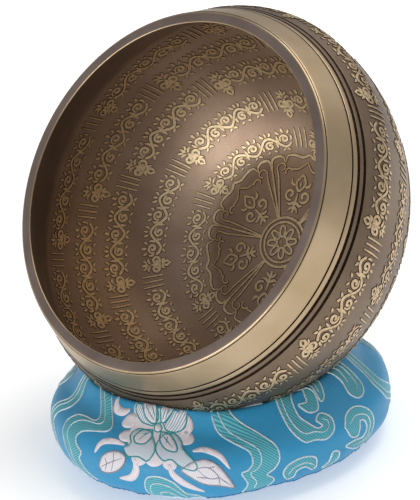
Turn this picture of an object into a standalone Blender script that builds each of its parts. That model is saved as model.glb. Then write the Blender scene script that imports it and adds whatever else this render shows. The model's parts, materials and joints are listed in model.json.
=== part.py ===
"""Etched bronze singing bowl, laid at a slant on its round brocade cushion.

Units are metres and +Z is up. The origin is the middle of the cushion's
underside, where the set stands. The bowl's mouth leans towards -Y.
"""

from math import asin, atan2, cos, hypot, inf, pi, radians, sin, tan

import bpy
from mathutils import Euler, Vector

MM = 0.001

# Bowl: turned shape, measured along its own axis, down from the plane of the lip.
LIP_RADIUS = 72.8 * MM
LIP_WIDTH = 4.6 * MM
LIP_CHAMFER = 0.5 * MM
BELLY_RADIUS = 84.4 * MM
BELLY_DEPTH = 23.5 * MM
BELLY_FILLET = 14.6 * MM
BOWL_HEIGHT = 91.0 * MM
FOOT_RADIUS = 36.4 * MM
WALL_THICKNESS = 3.5 * MM
UNDERBODY_POWERS = (1.219, 0.944)
GROOVE_DEPTHS = (10.6 * MM, 13.0 * MM, 15.4 * MM)
GROOVE_WIDTH = 1.0 * MM
GROOVE_CUT = 0.4 * MM

# How the bowl lies: the middle of its lip and its lean from upright, towards -Y.
LIP_CENTRE = Vector((1.8 * MM, -18.9 * MM, 114.6 * MM))
LEAN = radians(55.2)

# Cushion: two sewn panels round a filling.
CUSHION_RADIUS = 71.4 * MM
CUSHION_HEIGHT = 33.0 * MM
WIDEST_HEIGHT = 13.8 * MM
SEAM_HEIGHT = 6.0 * MM
CROWN_POWER = 3.1
UNDERSIDE_FLAT_RADIUS = 42.0 * MM
UNDERSIDE_POWER = 2.2
CLOTH = 1.0 * MM
SEAM_ROLL = 1.2 * MM
SEAM_ALLOWANCE = 6.0 * MM
GAP = 0.4 * MM
FILLING_CLEARANCE = 3.4 * MM
DENT_BLEND = 3.0 * MM

# Threads lying in the valley of the seam.
THREAD_RADIUS = 0.25 * MM
THREAD_LINE = (65.8 * MM, 5.55 * MM)
CLOSING_HALF_ANGLE = radians(20.0)
THREAD_END_ANGLE = radians(1.2)
CLOSING_MIDDLE = radians(90.0)

TURN_STEPS = 60
OUTSIDE_STEPS = (4, 13)
INSIDE_STEPS = (2, 11)
CUSHION_STEPS = 48
CROWN_RINGS = 14
CROWN_END = radians(87.0)
UNDERSIDE_RINGS = 10
ROLL_STEPS = 3
SEAM_THREAD_STEPS = 96
CLOSING_THREAD_STEPS = 12


def make_material(name, colour, roughness, metallic=0.0):
    """A plain finish for one sub-part."""
    material = bpy.data.materials.new(name)
    material.use_nodes = True
    shader = material.node_tree.nodes["Principled BSDF"]
    shader.inputs["Base Color"].default_value = (*colour, 1.0)
    shader.inputs["Roughness"].default_value = roughness
    shader.inputs["Metallic"].default_value = metallic
    return material


def add_object(name, data, collection, material):
    """A named object in the bowl's collection."""
    thing = bpy.data.objects.new(name, data)
    thing.data.materials.append(material)
    collection.objects.link(thing)
    return thing


def add_turned(name, profile, steps, collection, material):
    """Turn a profile of (radius, height) points, outer side first, top to bottom."""
    mesh = bpy.data.meshes.new(name)
    points = [(radius, 0.0, height) for radius, height in profile]
    mesh.from_pydata(points, [(i, i + 1) for i in range(len(points) - 1)], [])
    thing = add_object(name, mesh, collection, material)
    screw = thing.modifiers.new("Turning", "SCREW")
    screw.steps = steps
    screw.render_steps = steps
    screw.use_merge_vertices = True
    screw.merge_threshold = 0.00001
    screw.use_smooth_shade = True
    return thing


def apply_modifiers(thing):
    """Keep the turned surface as the object's own mesh."""
    evaluated = thing.evaluated_get(bpy.context.evaluated_depsgraph_get())
    flat_mesh = thing.data
    thing.modifiers.clear()
    thing.data = bpy.data.meshes.new_from_object(evaluated)
    bpy.data.meshes.remove(flat_mesh)


def rounded(base, power):
    """A power of a sine or cosine that may fall a rounding error below zero."""
    return max(base, 0.0) ** power


def underbody_point(angle):
    """Radius and depth on the bowl's lower curve, from belly (0) to foot (pi / 2)."""
    across, along = UNDERBODY_POWERS
    radius = FOOT_RADIUS + (BELLY_RADIUS - FOOT_RADIUS) * rounded(cos(angle), across)
    depth = BELLY_DEPTH + (BOWL_HEIGHT - BELLY_DEPTH) * rounded(sin(angle), along)
    return radius, depth


def arc_through_corner(radius, count):
    """The belly's fillet between the flared rim and the upright start of the underbody."""
    flare = atan2(BELLY_RADIUS - LIP_RADIUS, BELLY_DEPTH)
    run = radius * tan(flare / 2)
    centre = (BELLY_RADIUS - radius, BELLY_DEPTH + run)
    for i in range(count + 1):
        turn = flare * (1 - i / count)
        yield centre[0] + radius * cos(turn), radius * sin(turn) - centre[1]


def rim_radius(depth):
    """Outer radius of the straight flare under the lip."""
    return LIP_RADIUS + (BELLY_RADIUS - LIP_RADIUS) * depth / BELLY_DEPTH


def outer_line(fillet_steps, curve_steps):
    """Radius and height of the bowl's outside, from lip to foot, without its grooves."""
    line = [(LIP_RADIUS, 0.0)]
    line += list(arc_through_corner(BELLY_FILLET, fillet_steps))
    fillet_end = line[-1][1]
    for i in range(1, curve_steps + 1):
        radius, depth = underbody_point(pi / 2 * i / curve_steps)
        if -depth < fillet_end:
            line.append((radius, -depth))
    return line


def offset_inwards(line, distance):
    """Move each point of a (radius, height) line, which runs down an outside, inwards."""
    moved = []
    for i, (radius, height) in enumerate(line):
        before = line[max(i - 1, 0)]
        after = line[min(i + 1, len(line) - 1)]
        run = (after[0] - before[0], after[1] - before[1])
        share = distance / hypot(*run)
        moved.append((radius + share * run[1], height - share * run[0]))
    return moved


def bowl_profile():
    """The bowl's closed section: lip, grooved rim, underbody, foot, floor and inside wall."""
    section = [(LIP_RADIUS - LIP_WIDTH, 0.0), (LIP_RADIUS - LIP_CHAMFER, 0.0)]
    section.append((rim_radius(LIP_CHAMFER), -LIP_CHAMFER))
    for depth in GROOVE_DEPTHS:
        top, bottom = depth - GROOVE_WIDTH / 2, depth + GROOVE_WIDTH / 2
        section.append((rim_radius(top), -top))
        section.append((rim_radius(depth) - GROOVE_CUT, -depth))
        section.append((rim_radius(bottom), -bottom))
    section += outer_line(*OUTSIDE_STEPS)[1:]
    section.append((0.0, -BOWL_HEIGHT))
    inside = offset_inwards(outer_line(*INSIDE_STEPS)[1:], WALL_THICKNESS)
    inside[-1] = (FOOT_RADIUS - WALL_THICKNESS, WALL_THICKNESS - BOWL_HEIGHT)
    section.append((0.0, WALL_THICKNESS - BOWL_HEIGHT))
    section += reversed(inside)
    section.append(section[0])
    return section


def make_bowl(collection):
    """One casting, turned and grooved, laid at its lean."""
    bronze = make_material("patinated_bronze", (0.30, 0.19, 0.10), 0.38, 1.0)
    bowl = add_turned("bowl", bowl_profile(), TURN_STEPS, collection, bronze)
    bowl.location = LIP_CENTRE
    bowl.rotation_euler = (LEAN, 0.0, 0.0)
    return bowl


def outer_radius(depth):
    """Outer radius of the bowl at a depth below its lip, before the belly is rounded."""
    if depth <= BELLY_DEPTH:
        return rim_radius(depth)
    across, along = UNDERBODY_POWERS
    share = (depth - BELLY_DEPTH) / (BOWL_HEIGHT - BELLY_DEPTH)
    sine = min(share ** (1 / along), 1.0)
    return FOOT_RADIUS + (BELLY_RADIUS - FOOT_RADIUS) * (1 - sine * sine) ** (across / 2)


def touches_bowl(point, clearance):
    """Whether a point is inside the bowl's outside, or nearer to it than the clearance."""
    local = Euler((LEAN, 0.0, 0.0)).to_matrix().transposed() @ (point - LIP_CENTRE)
    depth = -local.z
    if depth < -clearance or depth > BOWL_HEIGHT + clearance:
        return False
    depth = min(max(depth, 0.0), BOWL_HEIGHT)
    return hypot(local.x, local.y) < outer_radius(depth) + clearance


def height_under_bowl(x, y, clearance):
    """The greatest height over the floor at which something under the bowl stays clear of it."""
    low, high = 0.0, CUSHION_HEIGHT + 2 * clearance
    if not touches_bowl(Vector((x, y, high)), clearance):
        return inf
    for _ in range(24):
        middle = (low + high) / 2
        if touches_bowl(Vector((x, y, middle)), clearance):
            high = middle
        else:
            low = middle
    return low


def smooth_least(first, second, blend):
    """The lesser of two heights, rounded where they cross."""
    if abs(first - second) >= blend:
        return min(first, second)
    share = (blend - abs(first - second)) / blend
    return min(first, second) - share * share * blend / 4


def press_under_bowl(thing, clearance):
    """Push the top of a cushion solid down to where the bowl's underside lies on it."""
    for vertex in thing.data.vertices:
        x, y, z = vertex.co
        if z > WIDEST_HEIGHT:
            vertex.co.z = smooth_least(z, height_under_bowl(x, y, clearance), DENT_BLEND)


def crown_points():
    """Radius and height of the cushion's crowned top, from its middle to its widest ring."""
    line = []
    for i in range(CROWN_RINGS + 1):
        share = sin(CROWN_END * i / CROWN_RINGS)
        rise = rounded(1 - share**CROWN_POWER, 1 / CROWN_POWER)
        height = WIDEST_HEIGHT + (CUSHION_HEIGHT - WIDEST_HEIGHT) * rise
        line.append((CUSHION_RADIUS * share, height))
    return line


def edge_point(angle):
    """Radius and height of the rounded lower edge, from widest (0) to flat underside (pi / 2)."""
    power = 2 / UNDERSIDE_POWER
    out = (CUSHION_RADIUS - UNDERSIDE_FLAT_RADIUS) * rounded(cos(angle), power)
    return UNDERSIDE_FLAT_RADIUS + out, WIDEST_HEIGHT * (1 - rounded(sin(angle), power))


def underside_points():
    """Radius and height of the rounded lower edge and the flat underside."""
    line = [edge_point(pi / 2 * i / UNDERSIDE_RINGS) for i in range(UNDERSIDE_RINGS + 1)]
    return line + [(0.0, 0.0)]


def seam_slope():
    """Radius of the seam, and how far the cushion's side leans inwards there, from upright."""
    power = 2 / UNDERSIDE_POWER
    angle = asin((1 - SEAM_HEIGHT / WIDEST_HEIGHT) ** (1 / power))
    step = radians(1.0)
    above, below = edge_point(angle - step), edge_point(angle + step)
    return edge_point(angle)[0], atan2(above[0] - below[0], above[1] - below[1])


def radius_at(line, height):
    """Radius at which a line that runs down an outside crosses a height."""
    for (radius, above), (next_radius, below) in zip(line, line[1:]):
        if above >= height > below:
            return radius + (next_radius - radius) * (above - height) / (above - below)
    raise ValueError("the line does not cross this height")


def seam_roll(side):
    """The rolled edge of a panel at the seam, from its outside in, above it (1) or below (-1)."""
    radius, lean = seam_slope()
    height = side * (SEAM_ROLL + GAP / 2)
    middle = radius + (height * sin(lean) - SEAM_ROLL) / cos(lean)
    roll = []
    for i in range(ROLL_STEPS + 1):
        angle = -lean - (side * pi / 2 - lean) * i / ROLL_STEPS
        across, up = SEAM_ROLL * cos(angle), SEAM_ROLL * sin(angle)
        roll.append((middle + across, SEAM_HEIGHT + height + up))
    return roll


def make_top_panel(collection):
    """The crowned brocade panel, which reaches round under the side to the seam."""
    blue = make_material("blue_brocade_top", (0.10, 0.30, 0.48), 0.55)
    roll = seam_roll(1)
    section = crown_points()
    section += [point for point in underside_points() if point[1] > roll[0][1]]
    section += roll
    section.append((seam_slope()[0] - SEAM_ALLOWANCE, SEAM_HEIGHT + GAP / 2))
    panel = add_turned("cushion_top_panel", section, CUSHION_STEPS, collection, blue)
    apply_modifiers(panel)
    press_under_bowl(panel, GAP)
    shell = panel.modifiers.new("Cloth", "SOLIDIFY")
    shell.thickness = CLOTH
    shell.offset = -1.0
    return panel


def make_bottom_panel(collection):
    """The flat brocade panel under the cushion, with its allowance turned in at the seam."""
    blue = make_material("blue_brocade_underside", (0.08, 0.26, 0.44), 0.6)
    roll = seam_roll(-1)
    section = [(seam_slope()[0] - SEAM_ALLOWANCE, SEAM_HEIGHT - GAP / 2)]
    section += reversed(roll)
    section += [point for point in underside_points() if point[1] < roll[0][1]]
    panel = add_turned("cushion_bottom_panel", section, CUSHION_STEPS, collection, blue)
    shell = panel.modifiers.new("Cloth", "SOLIDIFY")
    shell.thickness = CLOTH
    shell.offset = -1.0
    return panel


def make_filling(collection):
    """The stuffing inside both panels, cut back where the seam allowances stand in it."""
    fibre = make_material("polyester_fibre", (0.85, 0.85, 0.82), 0.9)
    inset = CLOTH + GAP
    top = SEAM_HEIGHT + SEAM_ROLL + inset
    neck = seam_slope()[0] - SEAM_ALLOWANCE - GAP
    outside = offset_inwards(crown_points() + underside_points(), inset)
    section = [(0.0, CUSHION_HEIGHT - inset)]
    section += [point for point in outside[1:] if point[1] > top]
    section += [(radius_at(outside, top), top), (neck, top)]
    section += [point for point in outside[:-1] if point[0] < neck and point[1] < top]
    section.append((0.0, inset))
    filling = add_turned("cushion_filling", section, CUSHION_STEPS, collection, fibre)
    apply_modifiers(filling)
    press_under_bowl(filling, CLOTH + FILLING_CLEARANCE)
    return filling


def make_thread(name, start, end, steps, collection, material):
    """A thread lying in the seam's valley from one angle to another."""
    curve = bpy.data.curves.new(name, "CURVE")
    curve.dimensions = "3D"
    curve.bevel_depth = THREAD_RADIUS
    curve.bevel_resolution = 1
    curve.use_fill_caps = True
    spline = curve.splines.new("POLY")
    spline.points.add(steps)
    radius, height = THREAD_LINE
    for i, point in enumerate(spline.points):
        angle = start + (end - start) * i / steps
        point.co = (radius * cos(angle), radius * sin(angle), height, 1.0)
    return add_object(name, curve, collection, material)


def make_threads(collection):
    """The machine seam, and the hand-sewn closing at the back where the filling went in."""
    polyester = make_material("blue_polyester_thread", (0.07, 0.22, 0.38), 0.6)
    cotton = make_material("blue_hand_thread", (0.09, 0.26, 0.42), 0.7)
    seam_start = CLOSING_MIDDLE + CLOSING_HALF_ANGLE
    seam_end = CLOSING_MIDDLE - CLOSING_HALF_ANGLE + 2 * pi
    make_thread("seam_thread", seam_start, seam_end, SEAM_THREAD_STEPS, collection, polyester)
    close_start = CLOSING_MIDDLE - CLOSING_HALF_ANGLE + THREAD_END_ANGLE
    close_end = CLOSING_MIDDLE + CLOSING_HALF_ANGLE - THREAD_END_ANGLE
    make_thread("closing_thread", close_start, close_end, CLOSING_THREAD_STEPS, collection, cotton)


def main():
    """Build the bowl and its cushion."""
    for thing in list(bpy.data.objects):
        bpy.data.objects.remove(thing, do_unlink=True)
    collection = bpy.data.collections.new("singing_bowl")
    bpy.context.scene.collection.children.link(collection)
    make_bowl(collection)
    make_top_panel(collection)
    make_bottom_panel(collection)
    make_filling(collection)
    make_threads(collection)


main()
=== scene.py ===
"""Etched bronze singing bowl lying on its stuffed brocade cushion.

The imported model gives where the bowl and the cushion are. This script makes what is
seen: the turned and etched bowl with its raised ornament, and the sewn, stuffed
cushion with its woven flowers, ribbons and stitches.
"""

import json
import logging
import math
from dataclasses import dataclass, field
from enum import Enum
from typing import Callable, ClassVar, Iterable, Optional, Sequence

import bpy
import numpy as np
from mathutils import Euler, Matrix, Vector
from mathutils.geometry import delaunay_2d_cdt


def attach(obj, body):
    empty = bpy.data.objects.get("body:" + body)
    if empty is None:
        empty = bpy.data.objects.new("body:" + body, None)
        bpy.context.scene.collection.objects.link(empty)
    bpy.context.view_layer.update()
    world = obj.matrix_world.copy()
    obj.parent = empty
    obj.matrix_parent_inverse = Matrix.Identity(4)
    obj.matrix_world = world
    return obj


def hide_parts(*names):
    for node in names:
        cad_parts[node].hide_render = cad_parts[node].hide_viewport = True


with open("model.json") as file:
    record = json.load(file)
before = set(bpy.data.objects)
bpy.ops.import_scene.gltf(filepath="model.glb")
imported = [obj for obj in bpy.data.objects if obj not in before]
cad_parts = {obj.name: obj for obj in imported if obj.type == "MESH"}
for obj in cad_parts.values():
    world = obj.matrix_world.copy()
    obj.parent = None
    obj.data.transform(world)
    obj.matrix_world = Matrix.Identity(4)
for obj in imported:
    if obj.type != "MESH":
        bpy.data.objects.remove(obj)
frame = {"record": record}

MM = 0.001
LOG = logging.getLogger("singing_bowl")

# Names of what a mesh keeps for its pattern: the cloth's flat cut, and the place on the
# bowl measured about the bowl's own axis, both in metres.
CLOTH_MAP = "cloth"
BOWL_PLACE = "bowl_place"

# Edges of relief sharper than this stay crisp, and tops differ in height by this step in mm.
CREASE_DEGREES = 35.0
TOP_STEP = 0.004

Point = tuple[float, float]
Path = np.ndarray
Piece = bpy.types.Object
Material = bpy.types.Material
Tree = bpy.types.NodeTree
Node = bpy.types.Node
Socket = bpy.types.NodeSocket


# ---------------------------------------------------------------- colours and nodes


def linear(hex_colour: str, alpha: float = 1.0) -> tuple[float, float, float, float]:
    """Turn an sRGB hex colour to linear light.

    Args:
        hex_colour: Colour such as "#B08D57".
        alpha: Opacity, from 0 to 1.

    Returns:
        Red, green, blue and alpha, linear.
    """
    digits = hex_colour.lstrip("#")
    values = [int(digits[i : i + 2], 16) / 255 for i in (0, 2, 4)]
    bent = [v / 12.92 if v <= 0.04045 else ((v + 0.055) / 1.055) ** 2.4 for v in values]
    return (bent[0], bent[1], bent[2], alpha)


def add_node(
    tree: Tree,
    kind: str,
    links: Optional[dict] = None,
    stops: Sequence[tuple[float, tuple]] = (),
    out: str | int = 0,
    **settings: object,
) -> Optional[Socket]:
    """Add one node with its settings, its values and its links.

    Args:
        tree: Node tree to add to.
        kind: Node type without its prefix, such as "TexNoise".
        links: Input name or number to a value or to another node's output.
        stops: Positions and colours, for a colour ramp.
        out: Name or number of the output that is wanted.
        settings: Properties of the node.

    Returns:
        That output, or None where the node has none.
    """
    node = tree.nodes.new("ShaderNode" + kind)
    for name, value in settings.items():
        setattr(node, name, value)
    for key, value in (links or {}).items():
        if isinstance(value, Socket):
            tree.links.new(value, node.inputs[key])
        else:
            node.inputs[key].default_value = value
    for i, (place, colour) in enumerate(stops):
        element = node.color_ramp.elements[i] if i < 2 else node.color_ramp.elements.new(place)
        element.position = place
        element.color = colour
    return node.outputs[out] if len(node.outputs) else None


def new_material(name: str) -> tuple[Material, Tree, Node]:
    """Make an empty node material with its Principled shader.

    Args:
        name: What the finish is called.

    Returns:
        The material, its node tree and its shader.
    """
    material = bpy.data.materials.new(name)
    material.use_nodes = True
    tree = material.node_tree
    return material, tree, tree.nodes["Principled BSDF"]


def bump(tree: Tree, shader: Node, height: Socket, strength: float, depth_mm: float) -> None:
    """Drive the shader's normal from a height.

    Args:
        tree: Node tree of the material.
        shader: Shader that takes the normal.
        height: Output socket with the height, from 0 to 1.
        strength: How much of the bump is used, from 0 to 1.
        depth_mm: Height of the relief in millimetres.
    """
    normal = add_node(tree, "Bump", {"Strength": strength, "Distance": depth_mm * MM, "Height": height})
    tree.links.new(normal, shader.inputs["Normal"])


# ---------------------------------------------------------------- finishes


@dataclass(frozen=True)
class EtchedPatina:
    """Etched bronze ground, browned with liver of sulphur.

    The acid leaves a fine matt grain. The brown is uneven, thinner and redder where it was
    wiped. Near the lip the colour is darkened by rim_tone: painted shade, where the wall lies in shade under
    the rim.
    """

    name: str = "etched_patinated_bronze"
    middle: str = "#9A8270"
    worn: str = "#B69E8A"
    roughness: float = 0.42
    grain_mm: float = 0.6
    cloud_mm: float = 28.0
    # Painted shade under the rim: depths below the lip over which it fades, in mm, and the share of the colour
    # left at the lip.
    painted_rim_shade_mm: Point = (9.0, 44.0)
    rim_tone: float = 0.5

    def material(self) -> Material:
        """Build the material."""
        material, tree, shader = new_material(self.name)
        place = add_node(tree, "Attribute", out="Vector", attribute_name=BOWL_PLACE)
        clouds = add_node(
            tree, "TexNoise", {"Vector": place, "Scale": 1 / (self.cloud_mm * MM), "Detail": 5.0}
        )
        # Grain of the etched face: about 0.6 mm, finer than the ornament and just visible.
        grain = add_node(
            tree, "TexNoise", {"Vector": place, "Scale": 1 / (self.grain_mm * MM), "Detail": 3.0}
        )
        tone = add_node(
            tree, "ValToRGB", {"Fac": clouds}, stops=((0.32, linear(self.middle)), (0.72, linear(self.worn)))
        )
        height = add_node(tree, "SeparateXYZ", {"Vector": place}, out="Z")
        # Painted shade: the brown is darkest from the lip down to the first of painted_rim_shade_mm, where the
        # wall under the rim lies in shade, and even again at the second. The bowl's own height is zero at the
        # lip.
        painted_rim_shade = add_node(
            tree,
            "MapRange",
            {
                "Value": height,
                "From Min": -self.painted_rim_shade_mm[1] * MM,
                "From Max": -self.painted_rim_shade_mm[0] * MM,
                "To Min": 1.0,
                "To Max": self.rim_tone,
            },
        )
        shaded = add_node(
            tree, "MixRGB", {"Fac": 1.0, "Color1": tone, "Color2": painted_rim_shade}, blend_type="MULTIPLY"
        )
        fleck = add_node(
            tree, "MixRGB", {"Fac": 0.22, "Color1": shaded, "Color2": grain}, blend_type="OVERLAY"
        )
        # Under the thin brown skin it is still metal, so most of the shine is kept.
        shader.inputs["Metallic"].default_value = 0.8
        tree.links.new(fleck, shader.inputs["Base Color"])
        rough = add_node(
            tree,
            "MapRange",
            {"Value": grain, "To Min": self.roughness - 0.05, "To Max": self.roughness + 0.1},
        )
        tree.links.new(rough, shader.inputs["Roughness"])
        bump(tree, shader, grain, 0.25, 0.06)
        return material


@dataclass(frozen=True)
class TurnedBronze:
    """Bronze cut on a lathe and rubbed to a satin shine.

    Fine rings run round the bowl, so the shine draws out across them; the metal
    is a warm gold with a few small casting pits.
    """

    name: str = "satin_turned_bronze"
    colour: str = "#BFA98C"
    tinge: str = "#AE9878"
    roughness: float = 0.36
    ring_mm: float = 0.35
    ring_length_mm: float = 83.0
    cloud_mm: float = 22.0
    pits: float = 0.0
    pit_gap_mm: float = 7.0
    pit_colour: str = "#2A1D15"

    def material(self) -> Material:
        """Build the material."""
        material, tree, shader = new_material(self.name)
        place = add_node(tree, "Attribute", out="Vector", attribute_name=BOWL_PLACE)
        # Lathe rings: cut about 0.1 mm apart, drawn at 0.35 mm so that they show. Each runs
        # on round the bowl for about 80 mm.
        along = 1 / (self.ring_length_mm * MM)
        stretched = add_node(
            tree, "Mapping", {"Vector": place, "Scale": (along, along, 1 / (self.ring_mm * MM))}
        )
        rings = add_node(tree, "TexNoise", {"Vector": stretched, "Scale": 1.0, "Detail": 2.0})
        clouds = add_node(
            tree, "TexNoise", {"Vector": place, "Scale": 1 / (self.cloud_mm * MM), "Detail": 4.0}
        )
        tone = add_node(
            tree, "ValToRGB", {"Fac": clouds}, stops=((0.3, linear(self.tinge)), (0.7, linear(self.colour)))
        )
        shader.inputs["Metallic"].default_value = 1.0
        # Casting pits are about 0.5 mm wide and 7 mm apart where the face has them.
        cells = add_node(tree, "TexVoronoi", {"Vector": place, "Scale": 1 / (self.pit_gap_mm * MM)})
        pit = add_node(
            tree,
            "MapRange",
            {"Value": cells, "From Min": 0.03, "From Max": 0.09, "To Min": 1.0, "To Max": 0.0},
        )
        amount = {0: pit, 1: self.pits}
        pitted = add_node(tree, "Math", amount, operation="MULTIPLY", use_clamp=True)
        blend = add_node(tree, "MixRGB", {"Fac": pitted, "Color1": tone, "Color2": linear(self.pit_colour)})
        tree.links.new(blend, shader.inputs["Base Color"])
        rough = add_node(
            tree,
            "MapRange",
            {"Value": rings, "To Min": self.roughness - 0.06, "To Max": self.roughness + 0.08},
        )
        tree.links.new(rough, shader.inputs["Roughness"])
        bump(tree, shader, rings, 0.22, 0.04)
        return material


@dataclass(frozen=True)
class PlainBronze:
    """Bronze with an even skin: the dark of a groove, the painted shade round a relief, or the bright top of a
    relief.
    """

    name: str
    colour: str
    shadow: str
    roughness: float
    speck_mm: float = 1.2

    def material(self) -> Material:
        """Build the material."""
        material, tree, shader = new_material(self.name)
        place = add_node(tree, "Attribute", out="Vector", attribute_name=BOWL_PLACE)
        specks = add_node(
            tree, "TexNoise", {"Vector": place, "Scale": 1 / (self.speck_mm * MM), "Detail": 3.0}
        )
        tone = add_node(
            tree, "ValToRGB", {"Fac": specks}, stops=((0.3, linear(self.shadow)), (0.6, linear(self.colour)))
        )
        shader.inputs["Metallic"].default_value = 1.0
        tree.links.new(tone, shader.inputs["Base Color"])
        shader.inputs["Roughness"].default_value = self.roughness
        bump(tree, shader, specks, 0.2, 0.05)
        return material


@dataclass(frozen=True)
class BrocadeSilk:
    """Jacquard brocade: rayon and metallic thread woven on a satin ground.

    The satin ground shines along its warp and looks darker at a slant. Figures are
    drawn in weft, so they show fine slanting or parallel lines of a second colour.
    """

    name: str
    colour: str
    line_colour: str
    roughness: float = 0.42
    line_mm: float = 0.9
    line_share: float = 0.5
    line_softness: float = 0.35
    cloud_mm: float = 16.7
    sheen: float = 0.5
    slant: float = 0.0

    def material(self) -> Material:
        """Build the material, its lines laid out on the cloth's flat coordinates."""
        material, tree, shader = new_material(self.name)
        cloth = add_node(tree, "UVMap", uv_map=CLOTH_MAP)
        turned = add_node(tree, "Mapping", {"Vector": cloth, "Rotation": (0.0, 0.0, self.slant)})
        # The cloth map is in metres. Real weft lines are about 0.4 mm apart; drawn at
        # line_mm so that they can be seen. Blender's wave repeats every 2 pi / 20 of a unit.
        waves = add_node(
            tree,
            "TexWave",
            {
                "Vector": turned,
                "Scale": math.pi / 10 / (self.line_mm * MM),
                "Distortion": 0.6,
                "Detail": 1.0,
                "Detail Scale": 1.5,
            },
            out="Fac",
        )
        clouds = add_node(
            tree, "TexNoise", {"Vector": cloth, "Scale": 1 / (self.cloud_mm * MM), "Detail": 3.0}
        )
        edge = 0.5 - self.line_share / 2
        lines = add_node(
            tree, "MapRange", {"Value": waves, "From Min": edge, "From Max": edge + self.line_softness}
        )
        tone = add_node(
            tree, "MixRGB", {"Fac": lines, "Color1": linear(self.line_colour), "Color2": linear(self.colour)}
        )
        cloudy = add_node(
            tree, "MixRGB", {"Fac": 0.12, "Color1": tone, "Color2": clouds}, blend_type="OVERLAY"
        )
        tree.links.new(cloudy, shader.inputs["Base Color"])
        shader.inputs["Roughness"].default_value = self.roughness
        # Stray filaments catch a little pale light at the edges of the folds.
        shader.inputs["Sheen Weight"].default_value = self.sheen
        shader.inputs["Sheen Roughness"].default_value = 0.35
        shader.inputs["Sheen Tint"].default_value = linear("#CFE6F2")
        bump(tree, shader, waves, 0.35, 0.08)
        return material


@dataclass(frozen=True)
class SpunThread:
    """Spun sewing or metallic thread, twisted from two strands that show as a fine mottle."""

    name: str
    colour: str
    shade: str
    roughness: float = 0.5
    metallic: float = 0.0
    twist_mm: float = 0.8

    def material(self) -> Material:
        """Build the material."""
        material, tree, shader = new_material(self.name)
        place = add_node(tree, "TexCoord", out="Object")
        strands = add_node(
            tree, "TexNoise", {"Vector": place, "Scale": 1 / (self.twist_mm * MM), "Detail": 2.0}
        )
        tone = add_node(
            tree, "ValToRGB", {"Fac": strands}, stops=((0.35, linear(self.shade)), (0.6, linear(self.colour)))
        )
        tree.links.new(tone, shader.inputs["Base Color"])
        shader.inputs["Metallic"].default_value = self.metallic
        shader.inputs["Roughness"].default_value = self.roughness
        bump(tree, shader, strands, 0.3, 0.1)
        return material


# ---------------------------------------------------------------- lines and strokes


def through(*points: Point, per_span: int = 10) -> Path:
    """Draw a smooth line through points.

    Args:
        points: Points in millimetres.
        per_span: Steps between two points.

    Returns:
        The line's points, one row each.
    """
    given = np.array(points, float)
    padded = np.vstack([2 * given[0] - given[1], given, 2 * given[-1] - given[-2]])
    steps = np.linspace(0, 1, per_span, endpoint=False)[:, None]
    spans = []
    for a, b, c, d in zip(padded, padded[1:], padded[2:], padded[3:]):
        bend = 2 * b + (c - a) * steps + (2 * a - 5 * b + 4 * c - d) * steps**2
        spans.append(0.5 * (bend + (3 * b - a - 3 * c + d) * steps**3))
    return np.vstack(spans + [given[-1:]])


def arc(centre: Point, radius: Point, start: float, end: float, steps: int = 24) -> Path:
    """Draw part of an ellipse, or a spiral where the radius changes.

    Args:
        centre: Middle of the ellipse.
        radius: Radius at the start and at the end.
        start: First angle in degrees, from +X towards +Y.
        end: Last angle in degrees.
        steps: Number of steps.

    Returns:
        The line's points.
    """
    angle = np.radians(np.linspace(start, end, steps + 1))
    reach = np.linspace(radius[0], radius[1], steps + 1)
    return np.column_stack([centre[0] + reach * np.cos(angle), centre[1] + reach * np.sin(angle)])


def oval(centre: Point, half: Point, turn: float = 0.0, steps: int = 28) -> Path:
    """Draw a closed ellipse.

    Args:
        centre: Middle of the ellipse.
        half: Half its length and half its width.
        turn: Direction of its length in degrees.
        steps: Number of sides.

    Returns:
        The outline, its last point not repeated.
    """
    angle = np.linspace(0, 2 * math.pi, steps, endpoint=False)
    local = np.column_stack([half[0] * np.cos(angle), half[1] * np.sin(angle)])
    return spin(local, turn) + centre


def spin(path: Path, degrees: float) -> Path:
    """Turn a line about the origin by an angle in degrees."""
    c, s = math.cos(math.radians(degrees)), math.sin(math.radians(degrees))
    return path @ np.array([[c, s], [-s, c]])


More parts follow.
